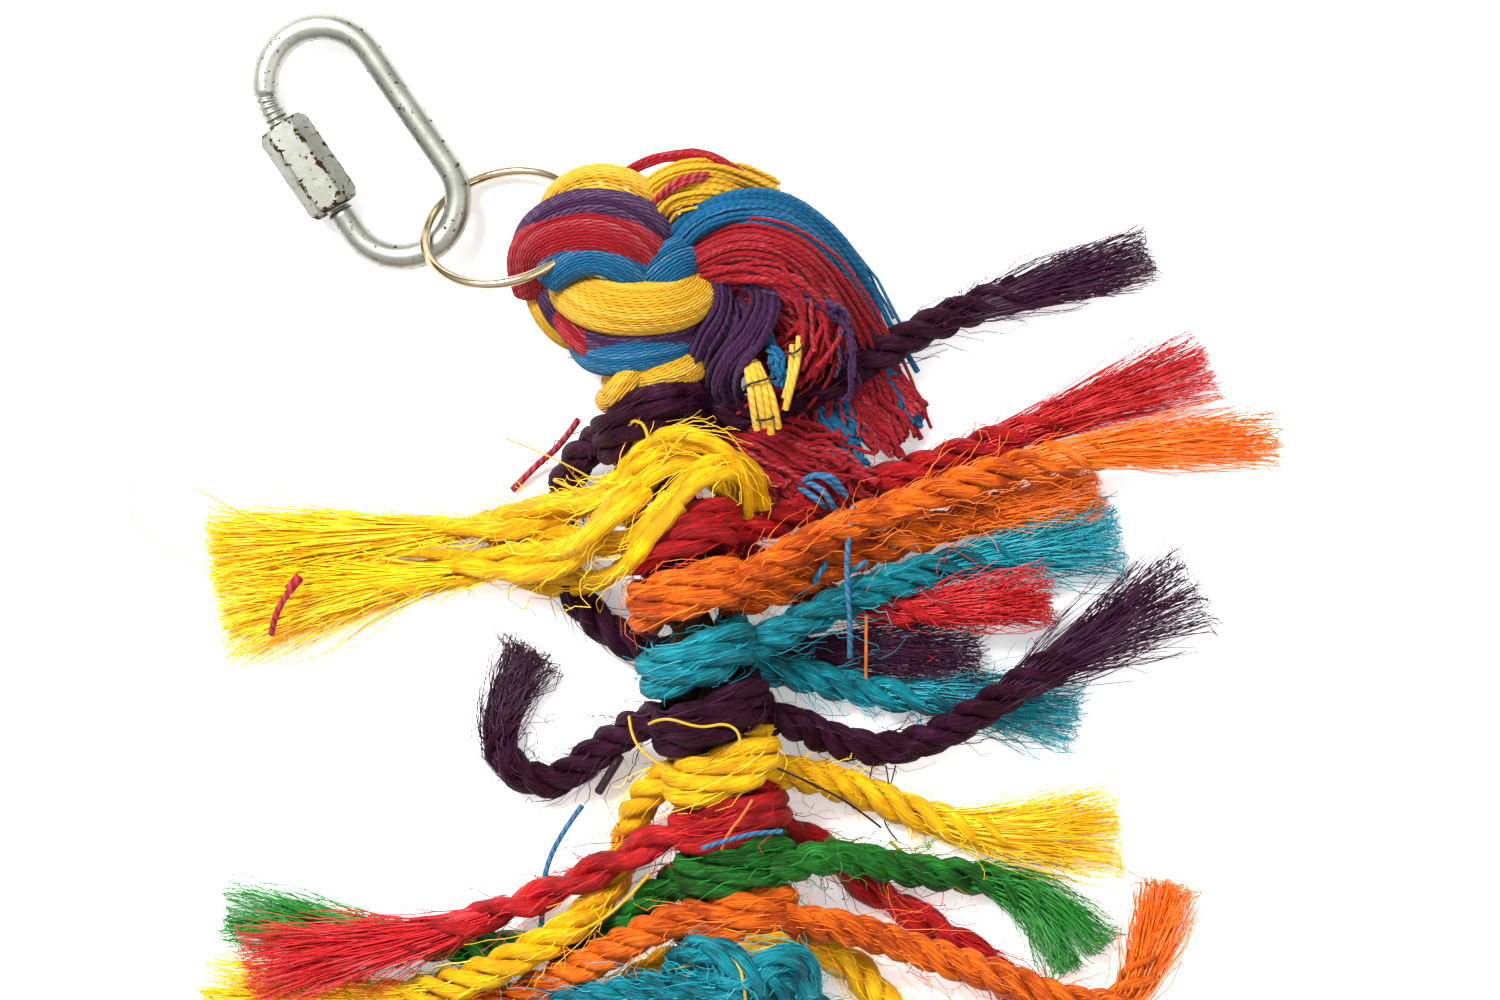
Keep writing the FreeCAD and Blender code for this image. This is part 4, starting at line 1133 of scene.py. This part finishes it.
# Knots whose passes the photograph shows well: points of (column, row, height) over it.
LAID_KNOTS = {
    "yellow_rope_1": [
        [(640, 520, 8), (622, 500, 14), (630, 466, 19), (656, 444, 22.5), (694, 438, 24),
         (730, 454, 22), (750, 486, 18), (752, 516, 13), (730, 530, 8)],
        [(756, 506, 12), (754, 474, 18), (726, 462, 22.5), (692, 478, 25), (666, 510, 25),
         (636, 538, 22), (600, 544, 16), (556, 538, 9), (514, 546, 5), (474, 558, 4),
         (430, 562, 4), (384, 564, 4)],
        [(742, 520, 10), (730, 486, 17), (700, 462, 22), (664, 466, 23.5), (640, 490, 20.5),
         (606, 502, 15), (570, 504, 9), (520, 512, 5), (470, 528, 4), (420, 532, 4),
         (376, 534, 4)],
        [(676, 500, 26), (648, 530, 27), (636, 556, 24), (610, 576, 14), (576, 584, 6),
         (540, 582, 3.4), (508, 564, 3.4), (484, 548, 5)],
    ],
    "teal_rope_2": [
        [(674, 966, 14), (688, 946, 21), (712, 943, 24.5), (734, 955, 26), (752, 970, 26),
         (772, 988, 24), (790, 1004, 18)],
        [(806, 994, 14), (810, 968, 20), (792, 951, 24), (768, 956, 25.5), (748, 974, 24.5),
         (724, 985, 23.5), (696, 983, 22), (672, 986, 19), (640, 992, 15)],
        [(696, 962, 17), (716, 964, 21), (736, 978, 22.5), (760, 992, 22), (784, 1000, 18)],
        [(800, 1004, 14), (798, 978, 20), (780, 968, 22.5), (762, 982, 22), (744, 1002, 19)],
    ],
}

# Single bits of yarn and thread that lie on the toy: colour, radius, and the route.
TRIMMINGS = [
    ("cotton_red", 0.62, [(578, 420, 8), (560, 446, 4.5), (536, 464, 2), (511, 490, 1)]),
    ("cotton_red", 0.6, [(300, 578, 10.5), (288, 592, 10.8), (274, 618, 10), (271, 634, 7)]),
    ("cotton_red", 0.95, [(300, 577, 10.4), (294, 584, 10.8), (289, 590, 10.6)]),
    ("cotton_red", 0.55, [(654, 205, 21.5), (668, 190, 24.6), (686, 180, 25.2), (708, 177, 22.5)]),
    ("cotton_red", 0.5, [(660, 203, 21.5), (674, 191, 24.8), (690, 184, 25), (706, 181, 22.5)]),
    ("cotton_yellow", 0.68, [(746, 362, 18), (750, 384, 20.5), (753, 408, 20), (757, 430, 18)]),
    ("cotton_yellow", 0.68, [(750, 360, 18), (757, 384, 21), (761, 408, 20.5), (765, 427, 18.4)]),
    ("cotton_yellow", 0.68, [(754, 362, 18), (764, 386, 20.6), (768, 410, 20), (771, 434, 18)]),
    ("cotton_yellow", 0.68, [(757, 364, 18), (770, 390, 20), (775, 410, 19.6), (778, 428, 17.6)]),
    ("cotton_yellow", 0.62, [(799, 338, 18), (798, 360, 20), (792, 384, 19.6), (785, 410, 18)]),
    ("cotton_yellow", 0.55, [(792, 346, 18), (791, 368, 19.6), (788, 386, 19), (784, 398, 18)]),
    ("cotton_black", 0.22, [(744, 388, 20), (750, 384, 21.8), (762, 382, 21.8), (770, 378, 20)]),
    ("cotton_black", 0.22, [(752, 420, 18), (760, 421, 21), (770, 420, 20.6), (776, 416, 18.6)]),
    ("cotton_black", 0.22, [(786, 352, 19), (791, 356, 20.8), (798, 352, 21), (803, 346, 19)]),
    ("cotton_blue", 0.5, [(853, 506, 13), (848, 534, 15), (846, 575, 14), (850, 620, 12.4),
                          (850, 657, 9)]),
    ("cotton_blue", 0.55, [(826, 562, 12), (820, 572, 14), (814, 580, 13), (812, 588, 10)]),
    ("cotton_blue", 0.5, [(848, 572, 12), (858, 566, 13.4), (866, 562, 12)]),
    ("cotton_blue", 0.55, [(798, 484, 9), (812, 474, 12.5), (828, 478, 13), (840, 492, 10)]),
    ("cotton_blue", 0.55, [(802, 480, 9), (818, 486, 13), (830, 500, 12.5), (836, 511, 10)]),
    ("cotton_blue", 0.55, [(800, 488, 9), (812, 496, 12.5), (820, 502, 12.5), (826, 508, 10)]),
    ("cotton_blue", 0.55, [(810, 476, 10), (826, 474, 13.4), (838, 482, 12.5), (846, 496, 10)]),
    ("cotton_blue", 0.5, [(582, 806, 6.5), (562, 832, 7), (544, 870, 6.5), (542, 910, 6.5),
                          (540, 944, 6)]),
    ("cotton_blue", 0.42, [(702, 845, 24.5), (728, 836, 26.6), (756, 829, 26.6), (782, 828, 25)]),
    ("yellow", 0.3, [(626, 440, 20), (630, 420, 24), (646, 424, 26), (650, 446, 26),
                     (662, 432, 26.5), (668, 452, 25)]),
    ("yellow", 0.28, [(660, 470, 25), (676, 440, 26.5), (702, 426, 25), (696, 438, 23)]),
    ("yellow", 0.34, [(554, 480, 7), (584, 494, 14), (614, 506, 20), (640, 512, 22)]),
    ("yellow", 0.16, [(505, 438, 3), (547, 455, 9), (585, 474, 15), (620, 494, 21)]),
    ("yellow", 0.1, [(128, 484, 1), (122, 508, 1.5), (146, 540, 1.5), (206, 572, 4)]),
    ("yellow", 0.14, [(196, 490, 2), (222, 504, 4), (252, 520, 7), (280, 534, 8)]),
    ("yellow", 0.26, [(630, 715, 20), (632, 735, 24), (650, 756, 27), (672, 768, 27)]),
    ("yellow", 0.26, [(650, 722, 24), (664, 713, 27.5), (700, 726, 28.5), (726, 720, 28.5),
                      (741, 730, 28), (740, 744, 27)]),
    ("orange", 0.26, [(752, 797, 25), (744, 811, 26.6), (726, 832, 26.8), (722, 846, 25)]),
    ("orange", 0.3, [(866, 616, 10), (866, 642, 11.5), (866, 678, 8.5)]),
    ("yellow", 0.3, [(716, 944, 24), (738, 955, 27), (744, 976, 27.6), (746, 1000, 24)]),
    ("yellow", 0.34, [(890, 842, 6), (908, 858, 3.4), (926, 872, 1.2)]),
    ("yellow", 0.3, [(650, 872, 16), (630, 896, 15), (596, 924, 13.4), (556, 940, 12),
                     (500, 956, 8)]),
    ("purple", 0.8, [(598, 793, 2.5), (609, 775, 5), (620, 757, 8)]),
    ("purple", 0.2, [(777, 765, 27), (817, 784, 20), (852, 804, 11), (881, 828, 6)]),
    ("purple", 0.14, [(874, 762, 6), (866, 790, 2.4), (882, 812, 1.6), (892, 794, 2.4),
                      (886, 766, 6)]),
    ("purple", 0.14, [(896, 766, 5), (888, 800, 1.6), (882, 826, 1), (898, 842, 1)]),
]


def curve_bit(name, points, radius, colour, seed):
    """One bit of yarn or fibre along a smooth line."""
    return grown(
        name, smooth_line(points, 10), bpy.data.node_groups["Yarn band"], Yarns=1, Width=0.0,
        Thickness=0.0, Yarn_Radius=radius * MM, Wander=0.0, Sides=8, Step=0.5 * MM,
        Seed=float(seed), Material=material(colour),
    )


def make_head(trees):
    """The head: its knot of yarn bands over each other, its fringe and loose bits of yarn."""
    loose, band = trees
    fuzz = 30
    meshes = []
    for number, (colour, yarns, wide, thick, points) in enumerate(HEAD_BANDS):
        line = smooth_line([seen(*point) - Vector((0, 0, thick / 2 * MM)) for point in points])
        meshes.append(grown(
            "head_knot", line, band, Yarns=yarns, Width=wide * MM, Thickness=thick * MM,
            Yarn_Radius=sizes().yarn_radius, Seed=float(number), Material=material(colour),
        ))
        meshes.append(grown(
            "head_knot", line, loose, Fibres=fuzz, Locks=fuzz, Points=6, Last=0.9,
            Shortest=0.03, Longest=0.12, Root=thick * 0.5 * MM, Inner=0.95, Own_Share=0.0,
            Spread_Across=1 * MM, Spread_Up=1 * MM, Frizz=2.5 * MM, Thickness=0.05 * MM,
            Seed=number * 3 + 1, Material=material(colour),
        ))
    knot = piece("head_knot", meshes, "ropes")
    locks = []
    for number, lock in enumerate(FRINGE_LOCKS):
        colour, yarns, root, root_up, wide, high, frizz, ends, points = lock
        line = smooth_line([seen(*point) for point in points])
        locks.append(grown(
            "head_fringe", line, loose, Fibres=yarns, Locks=max(3, yarns // 4), Own_Share=0.5,
            Last=0.02, Shortest=ends[0], Longest=ends[1], Root=root * MM, Root_Up=root_up * MM,
            Spread_Across=wide * MM, Spread_Up=high * MM, Frizz=frizz * MM, Fan=1.3,
            Thickness=0.42 * MM, Tip=1.1, Sides=4, Points=21, Floor=0.6 * MM, Waves=3.4,
            Seed=number * 11 + 5, Material=material(colour),
        ))
    fringe = piece("head_fringe", locks, "ropes")
    bits = [
        curve_bit("trimmings", [seen(*p) for p in points], radius, colour, number)
        for number, (colour, radius, points) in enumerate(TRIMMINGS)
    ]
    trimmings = piece("trimmings", bits, "ropes")
    for made in (knot, fringe):
        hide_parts("head_rope")


def make_core(twisted):
    """The rope that the strips are tied to, and the stopper knot that ends it."""
    line = smooth_line(laid(CORE_ROUTE))
    meshes = [rope_mesh("core", line, twisted, "core", 3, 22.0, 3, thick=1.25)]
    down = (line[-1] - line[-2]).normalized()
    side, up = across(down)
    # The stopper winds round the core three times, and bulges in the middle.
    corners, widest, high, overlap = 18, 4.4 * MM, 10.5, 1.5
    turns = []
    for number in range(corners + 1):
        angle = math.radians(60 * number)
        share = number / corners
        bulge = widest * math.sin(math.pi * min(max(share, 0.12), 0.88)) ** 0.5
        turns.append(
            line[-1] + down * (share * high - overlap) * MM
            + (side * math.cos(angle) + up * math.sin(angle)) * bulge
        )
    stopper = smooth_line(turns)
    meshes.append(rope_mesh("core", stopper, twisted, "core", 3, 20.0, 4, thick=0.95))
    core = piece("core_rope_laid", meshes, "ropes")
    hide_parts("core_rope")


def lofted(name, rings, finish, closed=False):
    """A skin over rings of points, closed at its ends or joined into a loop."""
    mesh = bmesh.new()
    loops = [[mesh.verts.new(point) for point in ring] for ring in rings]
    pairs = list(zip(loops, loops[1:])) + ([(loops[-1], loops[0])] if closed else [])
    for near, far in pairs:
        for number in range(len(near)):
            mesh.faces.new((near[number - 1], near[number], far[number], far[number - 1]))
    if not closed:
        mesh.faces.new(loops[0])
        mesh.faces.new(loops[-1])
    bmesh.ops.recalc_face_normals(mesh, faces=mesh.faces)
    made = bpy.data.meshes.new(name)
    mesh.to_mesh(made)
    mesh.free()
    made.materials.append(finish)
    made.shade_smooth()
    return made


def link_place():
    """How the link's own plane, with its long axis along X, lies in the part."""
    yaw, pitch, roll = (math.radians(angle) for angle in LINK_TURN)
    turn = Matrix.Rotation(yaw, 4, "Z") @ Matrix.Rotation(pitch, 4, "Y")
    return Matrix.Translation(at(*LINK_MIDDLE)) @ turn @ Matrix.Rotation(roll, 4, "X")


def make_link():
    """The bent rod of the quick link, with a real thread on both sides of its gate."""
    size = sizes()
    bend = (size.link_width - size.link_rod) / 2
    half = (size.link_length - size.link_rod) / 2 - bend
    nut_near = size.nut_length / 2 - NUT_SHIFT
    nut_far = size.nut_length - nut_near
    shoulder = nut_near + SHOULDER_GAP
    short_end = nut_near - GATE_HOLD
    long_end = short_end - GATE_GAP
    thread_end = nut_far + THREAD_REST
    straight = 2 * half
    arc = math.pi * bend
    thread_step, rod_step, edge = 0.16 * MM, 0.9 * MM, 0.01 * MM
    place = link_place()

    def track(distance):
        """A point of the rod's middle and its direction, by its distance from the gate."""
        run = distance
        if run < half:
            return Vector((run, -bend, 0)), Vector((1, 0, 0))
        run -= half
        if run < arc:
            turn = run / bend
            way = Vector((math.cos(turn), math.sin(turn), 0))
            return Vector((half + bend * math.sin(turn), -bend * math.cos(turn), 0)), way
        run -= arc
        if run < straight:
            return Vector((half - run, bend, 0)), Vector((-1, 0, 0))
        run -= straight
        if run < arc:
            turn = run / bend
            way = Vector((-math.cos(turn), -math.sin(turn), 0))
            return Vector((-half - bend * math.sin(turn), bend * math.cos(turn), 0)), way
        return Vector((-half + run - arc, -bend, 0)), Vector((1, 0, 0))

    total = half + 2 * arc + straight + (half + long_end)
    far_thread = total - (thread_end + long_end)
    rings = []
    run = short_end
    sides = 28
    while run < total:
        middle, way = track(run)
        out = Vector((way.y, -way.x, 0))
        near = run < shoulder
        threaded = near or run > far_thread
        ring = []
        for number in range(sides):
            angle = math.tau * number / sides
            radius = size.link_rod / 2
            if threaded:
                wave = math.cos(math.tau * run / THREAD_PITCH - angle)
                radius = size.thread_diameter / 2 + THREAD_DEPTH * (wave * 0.5 - 0.25)
            way_out = out * math.cos(angle) + Vector((0, 0, 1)) * math.sin(angle)
            ring.append(place @ (middle + way_out * radius))
        rings.append(ring)
        run += thread_step if threaded else rod_step
        if near and run > shoulder:
            run = shoulder + edge
        elif not threaded and run > far_thread:
            run = far_thread + edge
    rod = piece("quick_link_rod", [lofted("rod", rings, material("zinc"))], "link")
    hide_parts("link_rod")


def make_nut():
    """The six-sided sleeve nut, with bevelled ends and a bore."""
    size = sizes()
    bend = (size.link_width - size.link_rod) / 2
    far = -size.nut_length / 2 - NUT_SHIFT
    flat = size.nut_flats / 2
    corner = flat / math.cos(math.pi / 6)
    place = link_place()
    # Distances from an end, in millimetres, at which the outline is taken.
    stations = [0.0, 0.25, 0.6, 1.0, 1.5, 3.0]
    bevel_start, bevel_slope, worn_corner, sides = 0.93, 0.75, 0.13 * MM, 96
    length = size.nut_length / MM
    ends = stations + [length / 2] + [length - s for s in reversed(stations)]
    rings = []

    def ring_at(along, radius_of):
        ring = []
        for number in range(sides):
            angle = math.tau * number / sides
            radius = radius_of(angle)
            ring.append(place @ Vector((
                far + along, -bend + radius * math.cos(angle), radius * math.sin(angle)
            )))
        return ring

    for station in ends:
        near_end = min(station, length - station)
        limit = flat * bevel_start + near_end * MM * bevel_slope

        def radius_of(angle, limit=limit):
            turn = (angle + math.pi / 6) % (math.pi / 3) - math.pi / 6
            sharp = flat / math.cos(math.pi / 6 - abs(turn))
            return min(sharp, corner - worn_corner, limit)

        rings.append(ring_at(station * MM, radius_of))
    # The bore is tight over the gate's thread, and wide past it, where it clears the bend.
    bore = size.thread_diameter / 2 + 0.15 * MM
    wide = 2.9 * MM
    inner = [(length, bore + 0.5 * MM), (length - 0.6, bore), (9.0, bore), (8.9, wide),
             (0.5, wide), (0.0, wide + 0.35 * MM)]
    for station, radius in inner:
        rings.append(ring_at(station * MM, lambda angle, radius=radius: radius))
    sleeve = lofted("nut", rings, material("zinc_worn"), closed=True)
    for face in sleeve.polygons:
        face.use_smooth = False
    worn = sleeve.attributes.new("edge", "FLOAT", "POINT")
    back = place.inverted()
    worn_end = 0.9 * MM
    for vertex, value in zip(sleeve.vertices, worn.data):
        spot = back @ vertex.co - Vector((far, -bend, 0))
        out = math.hypot(spot.y, spot.z)
        ridge = max(0.0, (out - flat) / (corner - flat)) ** 2
        tip = max(0.0, 1.0 - min(spot.x, size.nut_length - spot.x) / worn_end)
        value.value = min(1.0, ridge + tip)
    nut = piece("sleeve_nut", [sleeve], "nut")
    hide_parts("nut")


def make_ring():
    """The wire ring, round and smooth, with the faint bulge of its welded joint."""
    size = sizes()
    turn = Matrix.Rotation(math.radians(RING_BEARING), 4, "Z")
    lean = Matrix.Rotation(math.radians(-RING_TILT), 4, "X")
    place = Matrix.Translation(at(*RING_MIDDLE)) @ turn @ lean
    steps, sides = 160, 20
    weld_angle, weld_width, weld_bulge = 2.2, 0.03, 0.07
    rings = []
    for number in range(steps):
        angle = math.tau * number / steps
        out = Vector((math.cos(angle), math.sin(angle), 0))
        weld = math.exp(-((angle - weld_angle) / weld_width) ** 2)
        wire = size.wire_diameter / 2 * (1 + weld_bulge * weld)
        rings.append([
            place @ (out * (size.ring_radius + wire * math.cos(t)) + Vector((0, 0, 1))
                     * wire * math.sin(t))
            for t in (math.tau * n / sides for n in range(sides))
        ])
    ring = piece("wire_ring", [lofted("ring", rings, material("nickel"), closed=True)], "ring")
    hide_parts("ring")


def soft_light(name, place, target, wide, power):
    """A round soft light turned to a target."""
    lamp = bpy.data.lights.new(name, "AREA")
    lamp.shape = "DISK"
    lamp.size = wide
    lamp.energy = power
    holder = bpy.data.objects.new(name, lamp)
    holder.location = place
    holder.rotation_mode = "QUATERNION"
    holder.rotation_quaternion = (target - place).to_track_quat("-Z", "Y")
    bpy.context.scene.collection.objects.link(holder)


def floor_material():
    """A pale, nearly even paper, lit a little from below."""
    material, tree, shader = new_material("floor", Roughness=0.75, Emission_Strength=0.3)
    shader.inputs["Emission Color"].default_value = (1.0, 1.0, 1.0, 1.0)
    shader.inputs["Specular IOR Level"].default_value = 0.2
    place = node(tree, "ShaderNodeTexCoord").outputs["Object"]
    cloud = grain(tree, place, 6.0, 3.0)
    tint = tuple(colours().floor)
    tree.links.new(
        ramp(tree, cloud, [(0.3, dimmed(tint, 0.985)), (0.7, tint)]), shader.inputs["Base Color"]
    )
    bumped(tree, shader, grain(tree, place, 900.0, 2.0), 0.05, 0.1 * MM)
    return material


class TOY_OT_stage(bpy.types.Operator):
    """Camera, lights, world and a pale floor"""
    bl_idname = "toy.stage"
    bl_label = "Stage"

    def execute(self, context):
        scene = context.scene
        camera = bpy.data.objects.new("camera", bpy.data.cameras.new("camera"))
        scene.collection.objects.link(camera)
        # At this height above the table one millimetre is as wide as in the photograph.
        focus = 9.0 * MM
        distance = 1.6
        sensor = 36.0
        camera.location = at(0.0, 0.0, 0.0) + Vector((0, 0, distance))
        camera.data.sensor_width = sensor
        seen_width = PHOTO_WIDTH / PIXELS * MM
        camera.data.lens = sensor * (distance - focus) / seen_width
        camera.data.clip_start = 0.1
        scene.camera = camera
        middle = Vector((0, 0, 0.01))
        soft_light("key", Vector((-0.6, 0.75, 1.1)), middle, 0.6, 40.0)
        soft_light("fill", Vector((0.9, -0.3, 1.1)), middle, 1.2, 6.0)
        world = bpy.data.worlds.new("studio")
        world.use_nodes = True
        backdrop = world.node_tree.nodes["Background"]
        way = node(world.node_tree, "ShaderNodeTexCoord").outputs["Generated"]
        rise = node(world.node_tree, "ShaderNodeSeparateXYZ", {0: way}).outputs[2]
        sky = ramp(world.node_tree, rise, [(0.05, (0.06,) * 3), (0.6, (1.0,) * 3)])
        world.node_tree.links.new(sky, backdrop.inputs[0])
        backdrop.inputs[1].default_value = 1.0
        scene.world = world
        scene.view_settings.view_transform = "Standard"
        floor = bpy.data.meshes.new("floor")
        wide = 3.0
        corners = [(-wide, -wide, 0), (wide, -wide, 0), (wide, wide, 0), (-wide, wide, 0)]
        floor.from_pydata(corners, [], [(0, 1, 2, 3)])
        floor.materials.append(floor_material())
        ground = bpy.data.objects.new("floor", floor)
        scene.collection.objects.link(ground)
        return {"FINISHED"}


class TOY_OT_strips(bpy.types.Operator):
    """The thirteen strips of twisted sisal, each knotted round the core"""
    bl_idname = "toy.strips"
    bl_label = "Strips"

    def execute(self, context):
        trees = (twisted_rope_tree(), loose_fibres_tree())
        for seed, label in enumerate(STRIPS, start=1):
            make_strip(label, seed, trees)
        return {"FINISHED"}


class TOY_OT_core(bpy.types.Operator):
    """The core rope and its stopper knot"""
    bl_idname = "toy.core"
    bl_label = "Core rope"

    def execute(self, context):
        make_core(bpy.data.node_groups["Twisted rope"])
        return {"FINISHED"}


class TOY_OT_head(bpy.types.Operator):
    """The cotton knot round the ring, its fringe and the loose bits of yarn"""
    bl_idname = "toy.head"
    bl_label = "Head"

    def execute(self, context):
        make_head((bpy.data.node_groups["Loose fibres"], yarn_band_tree()))
        return {"FINISHED"}


class TOY_OT_hardware(bpy.types.Operator):
    """The quick link with its sleeve nut, and the ring"""
    bl_idname = "toy.hardware"
    bl_label = "Quick link and ring"

    def execute(self, context):
        make_link()
        make_nut()
        make_ring()
        return {"FINISHED"}


class TOY_PT_panel(bpy.types.Panel):
    """The toy's sizes, colours and pieces"""
    bl_idname = "TOY_PT_panel"
    bl_label = "Parrot toy"
    bl_space_type = "VIEW_3D"
    bl_region_type = "UI"
    bl_category = "Parrot toy"

    def draw(self, context):
        for group in (sizes(), colours()):
            box = self.layout.box()
            for name in group.__annotations__:
                box.prop(group, name)
        for operator in OPERATORS:
            self.layout.operator(operator.bl_idname)


OPERATORS = (TOY_OT_stage, TOY_OT_strips, TOY_OT_core, TOY_OT_head, TOY_OT_hardware)
CLASSES = (ToySizes, ToyColours, *OPERATORS, TOY_PT_panel)


def register():
    """Make the add-on's classes and settings known."""
    for made in CLASSES:
        bpy.utils.register_class(made)
    bpy.types.Scene.toy_sizes = bpy.props.PointerProperty(type=ToySizes)
    bpy.types.Scene.toy_colours = bpy.props.PointerProperty(type=ToyColours)


def unregister():
    """Take the add-on's classes and settings away."""
    del bpy.types.Scene.toy_colours
    del bpy.types.Scene.toy_sizes
    for made in reversed(CLASSES):
        bpy.utils.unregister_class(made)


def main():
    """Make everything in order."""
    register()
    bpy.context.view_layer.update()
    for operator in OPERATORS:
        group, name = operator.bl_idname.split(".")
        getattr(getattr(bpy.ops, group), name)()


if __name__ == "__main__":
    main()
